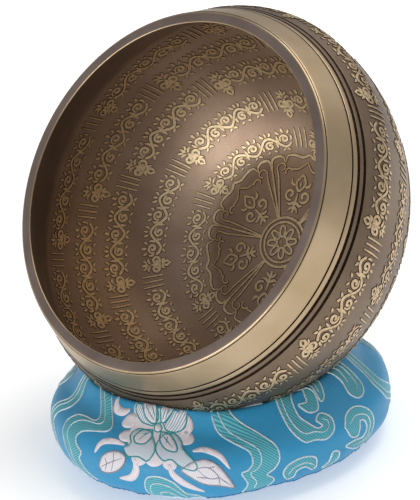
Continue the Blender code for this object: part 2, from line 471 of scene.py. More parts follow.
@dataclass
class Stroke:
    """A drawn line with a width, as an engraver or a weaver would lay it.

    Attributes:
        path: Points in millimetres.
        width: Greatest width in millimetres.
        ends: Share of the width kept at the start and at the end.
        closed: Whether the line ends where it starts.
    """

    path: Path
    width: float
    ends: Point = (1.0, 1.0)
    closed: bool = False

    # How a line is thinned out: the step at which it is read in millimetres, then the turn
    # in radians and the length in millimetres after which it needs a point.
    fine_step: ClassVar[float] = 0.75
    most_turn: ClassVar[float] = 0.22
    most_length: ClassVar[float] = 1.5
    # Share of the line over which its ends taper, and places along a round tip.
    taper: ClassVar[float] = 0.45
    tip_places: ClassVar[tuple[float, ...]] = (0.0, 0.12, 0.45, 1.0)

    def moved(self, change: Callable[[Path], Path], scale: float = 1.0) -> "Stroke":
        """Copy the stroke with its points changed and its width scaled."""
        return Stroke(change(self.path), self.width * scale, self.ends, self.closed)

    def sampled(self) -> tuple[Path, np.ndarray]:
        """Thin the line out where it is straight, and round or taper its ends.

        Returns:
            Points, and half the width at each.
        """
        path = np.vstack([self.path, self.path[:1]]) if self.closed else self.path
        step = np.hypot(*np.diff(path, axis=0).T)
        path = path[np.r_[True, step > 1e-6]]
        length = np.r_[0, np.cumsum(step[step > 1e-6])]
        total = length[-1]
        fine = np.union1d(length, np.arange(0, total, self.fine_step))
        path = np.column_stack([np.interp(fine, length, path[:, k]) for k in (0, 1)])
        length = fine
        half = self.width / 2
        heading = np.unwrap(np.arctan2(*np.diff(path, axis=0).T[::-1]))
        marks = [0.0]
        turned = 0.0
        for i in range(1, len(path) - 1):
            turned += abs(heading[i] - heading[i - 1])
            if turned > self.most_turn or length[i] - marks[-1] > self.most_length:
                marks.append(length[i])
                turned = 0.0
        marks = [m for m in marks if m < total - half * 0.5]
        if not self.closed:
            tips = [half * t for t in self.tip_places]
            marks = [m for m in marks if half < m < total - half]
            marks = sorted(set(tips + marks + [total - t for t in tips]))
        else:
            marks.append(total)
        at = np.array(marks)
        points = np.column_stack([np.interp(at, length, path[:, k]) for k in (0, 1)])
        wide = np.full(len(at), half)
        if not self.closed:
            run = max(total * self.taper, 1e-6)
            rise = np.clip(at / run, 0, 1)
            fall = np.clip((total - at) / run, 0, 1)
            wide *= self.ends[0] + (1 - self.ends[0]) * rise
            wide *= self.ends[1] + (1 - self.ends[1]) * fall
            near = np.clip(np.minimum(at, total - at) / half, 0.0, 1.0)
            wide *= np.sqrt(np.clip(1 - (1 - near) ** 2, 0.004, 1))
        return points, wide


@dataclass(frozen=True)
class Section:
    """Cross-section of a raised line: a flat top with bevelled sides and a skirt.

    Attributes:
        height: Height of the top over the surface in millimetres.
        bevel: Width of each side's slope.
        skirt: Width of the flat dark margin on each side, painted shade round the line, or 0 for none.
        sink: Depth of the line's underside below the surface.
        crown: How much the middle of the top stands over its edges.
    """

    height: float
    bevel: float
    skirt: float
    sink: float
    crown: float = 0.0
    skirt_height: ClassVar[Point] = (0.02, 0.03)

    def rows(self) -> list[tuple[float, float, float]]:
        """Give (share of the half width, extra offset, height) across the line."""
        rows = [(1.0, self.skirt, -self.sink)]
        if self.skirt:
            rows.append((1.0, self.skirt, self.skirt_height[0]))
        foot = self.skirt_height[1] if self.skirt else 0.0
        rows += [(1.0, 0.0, foot), (1.0, -self.bevel, self.height)]
        middle = [(0.0, 0.0, self.height + self.crown)]
        mirrored = [(-share, -extra, height) for share, extra, height in reversed(rows)]
        return rows + middle + mirrored


class Surface:
    """Something that a flat drawing can be laid on."""

    def place(self, flat: Path) -> tuple[np.ndarray, np.ndarray]:
        """Find where flat points lie.

        Args:
            flat: Points of the drawing in millimetres.

        Returns:
            Positions in metres, and outward unit normals.
        """
        raise NotImplementedError


def mesh_object(
    name: str,
    points: np.ndarray,
    faces: Sequence[Sequence[int]],
    materials: Sequence[Material],
    slots: Optional[Sequence[int]] = None,
) -> Piece:
    """Make a mesh object from arrays.

    Args:
        name: Piece name.
        points: Vertices in metres.
        faces: Vertex numbers of each face.
        materials: Its material slots.
        slots: Slot number of each face, or None for the first.

    Returns:
        The object, linked to the scene and shaded smooth.
    """
    mesh = bpy.data.meshes.new(name)
    mesh.from_pydata([tuple(p) for p in points], [], faces)
    for material in materials:
        mesh.materials.append(material)
    if slots is not None:
        mesh.polygons.foreach_set("material_index", np.asarray(slots, np.int32))
    mesh.shade_smooth()
    mesh.update()
    thing = bpy.data.objects.new(name, mesh)
    bpy.context.scene.collection.objects.link(thing)
    return thing


def report(thing: Piece) -> None:
    """Report a finished piece."""
    LOG.info("%s: %d faces", thing.name, len(thing.data.polygons))


def unit(rows: np.ndarray) -> np.ndarray:
    """Scale each row to length 1."""
    return rows / np.maximum(np.linalg.norm(rows, axis=-1, keepdims=True), 1e-12)


def lay_strokes(
    name: str,
    strokes: Iterable[Stroke],
    surface: Surface,
    section: Section,
    top: Material,
    side: Material,
    flat_map: bool = False,
) -> Piece:
    """Lay raised lines on a surface as closed ribs.

    Args:
        name: Piece name.
        strokes: Lines of the drawing.
        surface: What they lie on.
        section: Their cross-section.
        top: Material of their tops.
        side: Material of their sides and skirts.
        flat_map: Whether to store the drawing's coordinates as a UV map.

    Returns:
        One object with every line as a solid of its own.
    """
    rows = section.rows()
    count = len(rows)
    crest = count // 2
    points, faces, slots, flats = [], [], [], []
    start = 0
    for number, stroke in enumerate(strokes):
        path, half = stroke.sampled()
        at, normal = surface.place(path)
        if stroke.closed:
            along = unit(np.roll(at, -1, 0) - np.roll(at, 1, 0))
            along[0] = along[-1] = unit(at[1] - at[-2])
        else:
            along = unit(np.gradient(at, axis=0))
        across = unit(np.cross(normal, along))
        # Lines that cross differ a little in height, so that no two tops share a plane.
        lift = TOP_STEP * (number % 7)
        limit = half * 0.9
        for share, extra, height in rows:
            outward = np.maximum(abs(extra) * math.copysign(1, extra * share), -limit)
            offset = share * half + (math.copysign(1.0, share) * outward if share else 0.0)
            rise = height + (lift if height > section.skirt_height[1] else 0.0)
            points.append(at + (across * offset[:, None] + normal * rise) * MM)
            flats.append(path)
        length = len(path)
        block = np.arange(count * length).reshape(count, length) + start
        for r in range(count):
            nxt = (r + 1) % count
            bright = crest - 1 <= r <= crest
            a, b = block[r, :-1], block[r, 1:]
            c, d = block[nxt, 1:], block[nxt, :-1]
            faces.extend(zip(a.tolist(), b.tolist(), c.tolist(), d.tolist()))
            slots.extend([0 if bright else 1] * (length - 1))
        if not stroke.closed:
            faces.append(block[::-1, 0].tolist())
            faces.append(block[:, -1].tolist())
            slots.extend([1, 1])
        start += count * length
    thing = mesh_object(name, np.vstack(points), faces, [top, side], slots)
    thing.data.set_sharp_from_angle(angle=math.radians(CREASE_DEGREES))
    if flat_map:
        store_map(thing, np.vstack(flats) * MM)
    return thing


def store_map(thing: Piece, flat: np.ndarray) -> None:
    """Keep the cloth's flat coordinates as a UV map.

    Args:
        thing: Mesh object.
        flat: Flat place of each vertex in metres.
    """
    layer = thing.data.uv_layers.new(name=CLOTH_MAP)
    corner = np.empty(len(thing.data.loops), np.int32)
    thing.data.loops.foreach_get("vertex_index", corner)
    layer.uv.foreach_set("vector", flat[corner].astype(np.float32).ravel())


def inside(points: Path, outline: Path) -> np.ndarray:
    """Find which points are inside a closed outline.

    Args:
        points: Points to test.
        outline: The outline, its last point not repeated.

    Returns:
        True or false for each point.
    """
    x, y = points[:, 0][:, None], points[:, 1][:, None]
    ax, ay = outline[:, 0], outline[:, 1]
    bx, by = np.roll(ax, -1), np.roll(ay, -1)
    crosses = (ay > y) != (by > y)
    slope = np.where(by == ay, 1e-12, by - ay)
    return (crosses & (x < (bx - ax) * (y - ay) / slope + ax)).sum(1) % 2 == 1


def even_outline(outline: Path, step: float) -> Path:
    """Space the points of a closed outline evenly.

    Args:
        outline: The outline, its last point not repeated.
        step: Distance between points.

    Returns:
        The new points.
    """
    ring = np.vstack([outline, outline[:1]])
    length = np.r_[0, np.cumsum(np.hypot(*np.diff(ring, axis=0).T))]
    count = max(int(length[-1] / step), 6)
    at = np.linspace(0, length[-1], count, endpoint=False)
    return np.column_stack([np.interp(at, length, ring[:, k]) for k in (0, 1)])


def lay_patches(
    name: str,
    outlines: Iterable[Path],
    surface: Surface,
    lift: float,
    material: Material,
    thickness: float = 0.12,
    spacing: float = 1.3,
    edge_step: float = 0.8,
) -> Piece:
    """Lay filled woven figures on the cloth as thin closed patches.

    Args:
        name: Piece name.
        outlines: Closed outlines in flat millimetres.
        surface: The cloth.
        lift: Height of the first patch's top over the cloth in millimetres.
        material: Its material.
        thickness: How deep each patch goes, in millimetres.
        spacing: Distance between points inside a patch, so that it follows the cloth.
        edge_step: Distance between points on its edge.

    Returns:
        One object with every patch as a solid of its own.
    """
    points, faces, flats = [], [], []
    start = 0
    for outline in outlines:
        edge = even_outline(outline, edge_step)
        low, high = edge.min(0), edge.max(0)
        grid = np.stack(
            np.meshgrid(np.arange(low[0], high[0], spacing), np.arange(low[1], high[1], spacing)), -1
        ).reshape(-1, 2)
        grid[:, 0] += (np.round((grid[:, 1] - low[1]) / spacing) % 2) * spacing / 2
        grid = grid[inside(grid, edge)]
        if len(grid):
            gap = np.hypot(*(grid[:, None] - edge[None]).transpose(2, 0, 1)).min(1)
            grid = grid[gap > edge_step * 0.625]
        loose = [Vector(p) for p in np.vstack([edge, grid])]
        ring = [list(range(len(edge)))]
        made = delaunay_2d_cdt(loose, [], ring, 1, 1e-5)
        flat = np.array([tuple(v) for v in made[0]])
        at, normal = surface.place(flat)
        count = len(flat)
        triangles = [list(f) for f in made[2]]
        rim: dict[tuple[int, int], None] = {}
        for face in triangles:
            for a, b in zip(face, face[1:] + face[:1]):
                if (b, a) in rim:
                    del rim[(b, a)]
                else:
                    rim[(a, b)] = None
        points += [at + normal * lift * MM, at + normal * (lift - thickness) * MM]
        flats += [flat, flat]
        faces += [[i + start for i in face] for face in triangles]
        faces += [[i + start + count for i in reversed(face)] for face in triangles]
        faces += [[b + start, a + start, a + start + count, b + start + count] for a, b in rim]
        start += 2 * count
    thing = mesh_object(name, np.vstack(points), faces, [material])
    store_map(thing, np.vstack(flats) * MM)
    return thing


# ---------------------------------------------------------------- the bowl


class Side(Enum):
    """Which face of the bowl's wall is meant."""

    OUTSIDE = "outside"
    INSIDE = "inside"


@dataclass
class BowlForm:
    """Section of the bowl, in millimetres, down its axis from the plane of the lip."""

    lip_radius: float = 72.8
    lip_width: float = 4.6
    belly_radius: float = 84.4
    belly_depth: float = 23.5
    belly_fillet: float = 14.6
    height: float = 91.0
    foot_radius: float = 36.4
    wall: float = 3.5
    powers: Point = (1.219, 0.944)
    etched_from: float = 16.5
    flare_steps: ClassVar[int] = 40

    def outside(self) -> np.ndarray:
        """Draw the outside, from the lip's edge over the belly to the middle of the foot.

        Returns:
            Radius and depth of each point.
        """
        flare = math.atan2(self.belly_radius - self.lip_radius, self.belly_depth)
        run = self.belly_fillet * math.tan(flare / 2)
        centre = (self.belly_radius - self.belly_fillet, self.belly_depth + run)
        turn = flare * (1 - np.linspace(0, 1, 25))
        fillet = np.column_stack(
            [centre[0] + self.belly_fillet * np.cos(turn), centre[1] - self.belly_fillet * np.sin(turn)]
        )
        straight = np.linspace((self.lip_radius, 0.0), fillet[0], self.flare_steps, endpoint=False)
        angle = np.linspace(0, math.pi / 2, 240)[1:]
        drop = self.height - self.belly_depth
        reach = (self.belly_radius - self.foot_radius) * np.clip(np.cos(angle), 0, 1) ** self.powers[0]
        depth = self.belly_depth + drop * np.sin(angle) ** self.powers[1]
        curve = np.column_stack([self.foot_radius + reach, depth])
        curve = curve[curve[:, 1] > fillet[-1, 1]]
        foot = np.linspace((self.foot_radius, self.height), (0.0, self.height), 30)[1:]
        return np.vstack([straight, fillet, curve, foot])

    def inside(self) -> np.ndarray:
        """Draw the inside, one wall's thickness in, from the lip's inner edge to the floor's middle.

        Returns:
            Radius and depth of each point.
        """
        line = self.outside()
        run = unit(np.gradient(line, axis=0))
        moved = line + np.column_stack([-run[:, 1], run[:, 0]]) * self.wall
        moved = moved[self.flare_steps :]
        moved = moved[moved[:, 0] > 0]
        start = (self.lip_radius - self.lip_width, 0.0)
        straight = np.linspace(start, moved[0], self.flare_steps, endpoint=False)
        floor = np.array([(0.0, self.height - self.wall)])
        return np.vstack([straight, moved, floor])


def arc_length(line: np.ndarray) -> np.ndarray:
    """Length along a line at each of its points."""
    return np.r_[0, np.cumsum(np.hypot(*np.diff(line, axis=0).T))]


class WallSurface(Surface):
    """One face of the bowl's wall, mapped by (angle, length down the wall).

    Angles are in degrees from the bowl's highest side, growing towards +X.
    """

    def __init__(self, form: BowlForm, side: Side) -> None:
        """Sample the wall's section.

        Args:
            form: The bowl's section.
            side: Which face.
        """
        line = form.outside() if side is Side.OUTSIDE else form.inside()
        self.length = arc_length(line)
        self.line = line
        self.run = unit(np.gradient(line, axis=0))
        self.sign = 1.0 if side is Side.OUTSIDE else -1.0

    @property
    def end(self) -> float:
        """Length of the whole section in millimetres."""
        return float(self.length[-1])

    def radius(self, down: float) -> float:
        """Radius at a length down the wall, in millimetres."""
        return float(np.interp(down, self.length, self.line[:, 0]))

    def place(self, flat: Path) -> tuple[np.ndarray, np.ndarray]:
        """Find where points of the wall's map lie.

        Args:
            flat: Angle in degrees and millimetres down the wall.

        Returns:
            Positions about the bowl's own axis, and normals.
        """
        angle, down = np.radians(flat[:, 0]), flat[:, 1]
        radius = np.interp(down, self.length, self.line[:, 0])
        depth = np.interp(down, self.length, self.line[:, 1])
        run = unit(np.column_stack([np.interp(down, self.length, self.run[:, k]) for k in (0, 1)]))
        round_it = np.column_stack([np.sin(angle), np.cos(angle)])
        at = np.column_stack([round_it * radius[:, None], -depth]) * MM
        normal = np.column_stack([round_it * run[:, 1:2], run[:, 0]]) * self.sign
        return at, normal


class RowSurface(Surface):
    """A ring round the wall, on which x runs round and y runs towards the ring's head.

    Lengths round are true at the middle of the ring, 3 mm from its head line.
    """

    middle = 3.0

    def __init__(self, wall: WallSurface, head: float, towards_lip: bool) -> None:
        """Set the ring.

        Args:
            wall: The face that it is on.
            head: Length down the wall of the row's head line.
            towards_lip: Whether the heads of the ornaments point to the lip.
        """
        self.wall = wall
        self.head = head
        self.way = -1.0 if towards_lip else 1.0
        self.per_degree = math.radians(1) * wall.radius(head - self.way * self.middle)
        self.turn = -1.0 if towards_lip else 1.0

    def place(self, flat: Path) -> tuple[np.ndarray, np.ndarray]:
        """Find points from millimetres round and up from the head line, as WallSurface does."""
        angle = flat[:, 0] / self.per_degree * self.turn
        return self.wall.place(np.column_stack([angle, self.head + self.way * flat[:, 1]]))


class FloorSurface(Surface):
    """The bowl's floor seen from its mouth, its middle at (0, 0)."""

    def __init__(self, wall: WallSurface) -> None:
        """Use the inside wall's own middle."""
        self.wall = wall

    def place(self, flat: Path) -> tuple[np.ndarray, np.ndarray]:
        """Find where flat points lie, their distances from the middle kept true.

        Args:
            flat: Points in millimetres.

        Returns:
            Positions about the bowl's own axis, and normals.
        """
        angle = np.degrees(np.arctan2(flat[:, 0], flat[:, 1]))
        reach = np.hypot(flat[:, 0], flat[:, 1])
        return self.wall.place(np.column_stack([angle, self.wall.end - reach]))


class Ornaments:
    """Relief ornaments for the rings: a running vine with buds. They spell nothing.

    Each is drawn in a cell 7 mm wide: the head line is at y = 0, the vine swings down
    to -6 and the buds under it reach about -9.
    """

    cell = 7.0
    cells = 6
    line = 1.3
    stem_middle = -3.1
    stem_reach = 2.6
    bar_step = 2.2
    bar_line = 0.884
    gap = 0.6
    slope = 0.16

    @classmethod
    def leaf(cls, *points: Point, width: float = 1.25) -> Stroke:
        """Draw a small leaf or bud: broad where it grows from the vine, pointed at its end."""
        return Stroke(through(*points), width, (0.75, 0.15))

    @classmethod
    def both(cls, half: Sequence[Stroke]) -> list[Stroke]:
        """Add to each stroke its mirror image about the middle of the cell."""
        return list(half) + [s.moved(lambda path: path * (-1.0, 1.0) + (cls.cell, 0.0)) for s in half]

    @classmethod
    def stem(cls, start: float, end: float) -> Stroke:
        """Draw the swinging stem of the vine.

        Args:
            start: Where it starts along the ring.
            end: Where it ends.

        Returns:
            The stem, highest in the middle of its first cell.
        """
        x = np.linspace(start, end, 140)
        swing = cls.stem_reach * np.cos((x / cls.cell - 0.5) * math.pi)
        return Stroke(np.column_stack([x, cls.stem_middle + swing]), cls.line)

    @classmethod
    def finial(cls) -> list[Stroke]:
        """A tall lotus bud over two volutes, with three buds below."""
        half = [
            Stroke(arc((1.75, -2.5), (1.95, 0.45), 10, 480, 34), cls.line),
            cls.leaf((3.3, 0.2), (1.9, 0.5), (0.9, 1.9)),
            cls.leaf((3.1, -4.9), (1.7, -5.8), (0.2, -5.6)),
            cls.leaf((3.0, -6.4), (1.9, -7.3), (1.5, -8.6)),
        ]
        bud = through((3.5, 3.8), (2.4, 2.1), (3.5, 0.7), (4.6, 2.1), (3.5, 3.8))[:-1]
        return cls.both(half) + [
            Stroke(bud, cls.line * 0.9, closed=True),
            Stroke(np.array([(3.5, -0.2), (3.5, -4.6)]), cls.line, (0.8, 1.0)),
            cls.leaf((3.5, -5.6), (3.5, -7.4), (3.5, -9.3), width=1.5),
        ]

    @classmethod
    def crest(cls) -> list[Stroke]:
        """The vine over a spiral, with leaves on its back and buds hanging below."""
        half = [
            cls.leaf((3.3, 0.5), (2.3, 0.8), (1.5, 1.7)),
            cls.leaf((0.9, -3.2), (0.4, -4.6), (0.7, -6.3)),
            cls.leaf((1.9, -6.5), (1.1, -7.3), (0.9, -8.5)),
        ]
        return cls.both(half) + [
            Stroke(arc((3.5, -4.1), (2.05, 0.35), 150, 640, 36), cls.line, (0.7, 1.0)),
            cls.leaf((3.5, -6.7), (3.5, -8.0), (3.5, -9.4), width=1.5),
        ]

    @classmethod
    def trough(cls) -> list[Stroke]:
        """The vine under a spiral, with leaves over it and buds below."""
        half = [
            cls.leaf((0.7, -2.7), (0.2, -1.5), (0.5, 0.1)),
            cls.leaf((2.6, 0.6), (1.7, 0.9), (1.0, 1.7), width=1.1),
            cls.leaf((2.5, -6.5), (1.7, -7.4), (1.5, -8.8)),
        ]
        return cls.both(half) + [
            Stroke(arc((3.5, -2.1), (2.05, 0.35), -30, -520, 36), cls.line, (0.7, 1.0)),
            cls.leaf((3.5, -6.6), (3.5, -7.8), (3.5, -9.0), width=1.3),
        ]

    @classmethod
    def bars(cls, count: int) -> list[Stroke]:
        """Draw the plain bars that part one group from the next."""
        bars = []
        for i in range(count):
            x = 1.3 + i * cls.bar_step
            bars.append(Stroke(np.array([(x, 0.2), (x + 0.3, -9.2)]), cls.bar_line, (1.0, 0.7)))
        return bars

    @classmethod
    def group(cls, bars: int) -> list[Stroke]:
        """Draw one group: a finial, the vine's five cells and the bars after them.

        Args:
            bars: Number of bars.

        Returns:
            The group's strokes, all at the same slant.
        """
        strokes = list(cls.finial())
        for k in range(1, cls.cells):
            kind = cls.crest if k % 2 else cls.trough
            strokes += [s.moved(lambda path, k=k: path + (k * cls.cell, 0.0)) for s in kind()]
        vine = cls.stem(cls.gap, (cls.cells - 1) * cls.cell - cls.gap)
        strokes.append(vine.moved(lambda path: path + (cls.cell, 0.0)))
        after = cls.cells * cls.cell
        strokes += [s.moved(lambda path: path + (after, 0.0)) for s in cls.bars(bars)]
        lean = np.array([[1.0, 0.0], [cls.slope, 1.0]])
        return [s.moved(lambda path: path @ lean) for s in strokes]

    @classmethod
    def group_width(cls, bars: int) -> float:
        """Length of one group in millimetres."""
        return cls.cells * cls.cell + cls.bar_step * bars + cls.gap


@dataclass
class OrnamentRow:
    """One ring of raised ornament.

    Attributes:
        side: Face of the wall.
        head: Length down the wall of the head line in millimetres.
        groups: Number of groups round the bowl.
        bars_at: Angle of one set of bars in degrees.
        size: Height of the ornaments against the drawing.
        bars: Number of bars between two groups.
    """

    side: Side
    head: float
    groups: int
    bars_at: float
    size: float
    bars: int = 3

    def strokes(self, surface: RowSurface) -> list[Stroke]:
        """Draw the ring in millimetres round and up.

        Args:
            surface: The ring on the wall.

        Returns:
            Its strokes.
        """
        step = 360 * surface.per_degree / self.groups
        squeeze = step / Ornaments.group_width(self.bars)
        bars_middle = (Ornaments.cells * Ornaments.cell + Ornaments.bar_step * self.bars / 2) * squeeze
        first = self.bars_at * surface.turn * surface.per_degree - bars_middle
        made = []
        for k in range(self.groups):
            shift = first + k * step
            for stroke in Ornaments.group(self.bars):
                scaled = stroke.path * (squeeze, self.size) + (shift, 0.0)
                made.append(Stroke(scaled, stroke.width * self.size, stroke.ends, stroke.closed))
        return made


@dataclass
class FloorFlower:
    """The lotus on the bowl's floor: a ringed medallion and six scalloped petals."""

    petals: int = 6
    turned: float = -54.5
    ring_radius: float = 10.7
    inner_ring_radius: float = 8.7
    tip: float = 38.6
    valley: float = 32.3
    line: float = 1.3
    size: float = 1.04

    def strokes(self) -> list[Stroke]:
        """Draw the whole flower.

        Returns:
            Its strokes in flat millimetres, the middle at (0, 0).
        """
        made = [
            Stroke(oval((0, 0), (self.ring_radius,) * 2, steps=64), self.line, closed=True),
            Stroke(oval((0, 0), (self.inner_ring_radius,) * 2, steps=56), self.line * 0.9, closed=True),
        ]
        made += self.medallion()
        for k in range(self.petals):
            turn = self.turned + 360 / self.petals * k
            for stroke in self.petal():
                made.append(stroke.moved(lambda path, turn=turn: spin(path, -turn)))
        return [stroke.moved(lambda path: path * self.size) for stroke in made]

    def medallion(self) -> list[Stroke]:
        """Draw a rosette of eight petals round a bead."""
        made = [Stroke(np.array([(-0.3, 0.0), (0.3, 0.0)]), 2.8)]
        for k in range(8):
            petal = Stroke(oval((4.7, 0.0), (2.4, 1.3), steps=20), 1.15, closed=True)
            made.append(petal.moved(lambda path, k=k: spin(path, 45 * k + 10)))
        return made

    def petal(self) -> list[Stroke]:
        """Draw one petal pointing to +Y.

        Returns:
            Its scalloped edge, volutes, stem and motif.
        """
        half = []
        edge = through(
            (self.valley * math.sin(math.radians(30)), self.valley * math.cos(math.radians(30))),
            (17.9, 32.6),
            (15.6, 35.0),
            (12.6, 34.9),
            (11.0, 32.6),
        )
        crown = through((11.0, 33.4), (10.6, 36.2), (7.4, 37.2), (3.2, 36.9), (0.0, self.tip))
        volute = np.vstack(
            [
                through((5.1, 9.6), (8.6, 18.0), (12.0, 26.0), (14.2, 29.6)),
                arc((11.9, 30.6), (2.5, 1.0), -20, 260, 22),
            ]
        )
        hook = arc((8.2, 29.3), (1.0, 2.2), -60, 150, 16)
        arch = np.vstack([hook, through((6.2, 31.2), (3.2, 31.9), (0.0, 35.2))])
        for path, width, ends in (
            (edge, self.line * 1.05, (0.8, 0.5)),
            (crown, self.line * 1.05, (0.5, 1.0)),
            (volute, self.line * 0.75, (0.8, 0.8)),
            (arch, self.line * 0.8, (0.9, 0.8)),
        ):
            half.append(Stroke(path, width, ends))
        made = half + [s.moved(lambda path: path * (-1.0, 1.0)) for s in half]
        stem = spin(np.array([(0.0, self.ring_radius - 0.2), (0.0, self.valley)]), -30)
        made.append(Stroke(stem, self.line * 0.8, (1.0, 1.0)))
        made += self.motif()
        return made

    def motif(self) -> list[Stroke]:
        """Draw the palmette in the middle of a petal: a bud, two volutes and their leaves."""
        bud = through((0.0, 29.8), (-2.3, 26.0), (0.0, 22.6), (2.3, 26.0), (0.0, 29.8))[:-1]
        half = [
            Stroke(arc((-3.6, 20.6), (2.7, 0.7), -60, -440, 30), 1.4, (0.8, 1.0)),
            Stroke(through((-0.4, 17.6), (-2.4, 16.4), (-4.2, 16.9)), 1.6, (0.9, 0.2)),
            Stroke(through((-0.3, 15.6), (-1.6, 14.6), (-2.6, 13.0)), 1.4, (0.9, 0.2)),
            Stroke(through((-2.6, 24.6), (-4.4, 25.4), (-5.0, 27.4)), 1.5, (0.9, 0.2)),
        ]
        mirrored = [s.moved(lambda path: path * (-1.0, 1.0)) for s in half]
        stalk = Stroke(np.array([(0.0, 21.6), (0.0, 12.8)]), 1.4, (0.6, 1.0))
        heart = Stroke(np.array([(0.0, 24.6), (0.0, 26.6)]), 1.2, (0.9, 0.5))
        return [Stroke(bud, 1.3, closed=True), stalk, heart] + half + mirrored


@dataclass(frozen=True)
class Groove:
    """A groove turned in the rim: its middle's depth below the lip, its width and how deep it is cut."""

    depth: float
    width: float
    cut: float


class Bowl:
    """The cast, turned and etched bowl."""

    sides = 288
    grooves = (Groove(10.6, 0.5, 0.25), Groove(13.0, 1.0, 0.45), Groove(15.4, 1.0, 0.45))
    # Distance between rings of the shell outside and inside, in millimetres.
    ring_steps = (1.1, 1.15)
    # Depths below the lip of the band's rings, and half the width of a groove's bright shoulder.
    band_depths = (1.2, 2.2, 4.0, 6.0, 8.0, 9.8)
    shoulder = 0.22

    def __init__(self) -> None:
        """Take the bowl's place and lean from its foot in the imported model."""
        self.form = BowlForm()
        foot = next(m for m in frame["record"]["mounts"] if m["name"] == "bowl_foot")
        down = Vector(foot["axis"]).normalized()
        lean = math.atan2(down.y, -down.z)
        centre = Vector(foot["pos_m"]) - down * self.form.height * MM
        self.matrix = Matrix.Translation(centre) @ Euler((lean, 0.0, 0.0)).to_matrix().to_4x4()
        self.outside = WallSurface(self.form, Side.OUTSIDE)
        self.inside = WallSurface(self.form, Side.INSIDE)

    def settle(self, thing: Piece, slot: str = "patinated_bronze") -> None:
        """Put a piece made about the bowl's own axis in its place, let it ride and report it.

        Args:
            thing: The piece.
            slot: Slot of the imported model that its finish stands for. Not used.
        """
        count = len(thing.data.vertices)
        place = np.empty(count * 3, np.float32)
        thing.data.vertices.foreach_get("co", place)
        kept = thing.data.attributes.new(BOWL_PLACE, "FLOAT_VECTOR", "POINT")
        kept.data.foreach_set("vector", place)
        thing.data.transform(self.matrix)
        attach(thing, "bowl")
        report(thing)

    def shell_section(self) -> list[tuple[float, float, int]]:
        """Draw the shell's section down the outside, round the foot and up the inside.

        Returns:
            Radius, depth and, for the face that follows, the number of its finish.
        """
        lip, band, dark, ground, edge, hollow = range(6)
        form = self.form
        slope = (form.belly_radius - form.lip_radius) / form.belly_depth
        inner = form.lip_radius - form.lip_width
        section = [
            (inner + 0.55, 0.0, lip),
            (inner + 1.6, 0.0, lip),
            (form.lip_radius - 1.9, 0.0, lip),
            (form.lip_radius - 0.75, 0.0, edge),
            (form.lip_radius - 0.3, 0.12, edge),
            (form.lip_radius + 0.05, 0.5, dark),
            (form.lip_radius + 0.12, 0.66, dark),
            (form.lip_radius + 0.34, 0.76, band),
        ]

        def flank(depth: float, cut: float, finish: int) -> tuple[float, float, int]:
            """Give a point on the flared rim, or cut into it."""
            return (form.lip_radius + slope * depth - cut, depth, finish)

        section += [flank(depth, 0.0, band) for depth in self.band_depths]
        for number, groove in enumerate(self.grooves):
            top, low = groove.depth - groove.width / 2, groove.depth + groove.width / 2
            before = band if number < 2 else ground
            after = band if number < 1 else ground
            section += [
                flank(top - self.shoulder, 0.0, before),
                flank(top - 0.04, 0.02, dark),
                flank(top + 0.08, groove.cut, dark),
                flank(low - 0.08, groove.cut, dark),
                flank(low + 0.04, 0.02, after),
                flank(low + self.shoulder, 0.0, after),
            ]
        outside = form.outside()
        length = arc_length(outside)
        start = np.interp(form.etched_from, outside[:, 1], length)
        for at in np.arange(start, length[-1] - 0.4, self.ring_steps[0]):
            radius, depth = (float(np.interp(at, length, outside[:, k])) for k in (0, 1))
            section.append((radius, depth, ground))
        section.append((0.0, form.height, ground))
        hollow_line = form.inside()
        length = arc_length(hollow_line)
        for at in np.arange(length[-1], 1.0, -self.ring_steps[1]):
            radius, depth = (float(np.interp(at, length, hollow_line[:, k])) for k in (0, 1))
            section.append((radius, depth, hollow))
        section += [
            (inner + 0.33, 0.75, edge),
            (inner + 0.12, 0.42, edge),
            (inner + 0.2, 0.12, edge),
        ]
        return section

    def shell(self) -> Piece:
        """Turn the bowl's section about its axis.

        Returns:
            The shell, its axis still upright.
        """
        finishes = [
            TurnedBronze("lip_satin_bronze", "#9A8A82", "#82726A", 0.42, 0.5, pits=1.0).material(),
            TurnedBronze().material(),
            PlainBronze("blackened_groove", "#2C2018", "#17100B", 0.5).material(),
            EtchedPatina("etched_patinated_bronze_outside", "#6C5B4B", "#84725F", rim_tone=1.0).material(),
            TurnedBronze("bright_edge_bronze", "#B9A488", "#A28C70", 0.34, 0.4).material(),
            # Only the inside keeps the painted shade under the rim; outside, rim_tone is 1.0.
            EtchedPatina("etched_patinated_bronze_inside").material(),
        ]
        section = self.shell_section()
        steps = self.sides
        angle = np.linspace(0, 2 * math.pi, steps, endpoint=False)
        points, rings = [], []
        for radius, depth, _slot in section:
            if radius < 1e-6:
                rings.append([len(points)])
                points.append((0.0, 0.0, -depth * MM))
                continue
            rings.append(list(range(len(points), len(points) + steps)))
            for a in angle:
                points.append((radius * math.sin(a) * MM, radius * math.cos(a) * MM, -depth * MM))
        faces, slots = [], []
        for i, upper in enumerate(rings):
            lower = rings[(i + 1) % len(rings)]
            slot = section[i][2]
            if len(upper) == 1 and len(lower) == 1:
                continue
            for k in range(steps):
                n = (k + 1) % steps
                if len(upper) == 1:
                    faces.append((upper[0], lower[n], lower[k]))
                elif len(lower) == 1:
                    faces.append((upper[k], upper[n], lower[0]))
                else:
                    faces.append((upper[k], upper[n], lower[n], lower[k]))
                slots.append(slot)
        return mesh_object("bowl_shell", np.array(points), faces, finishes, slots)

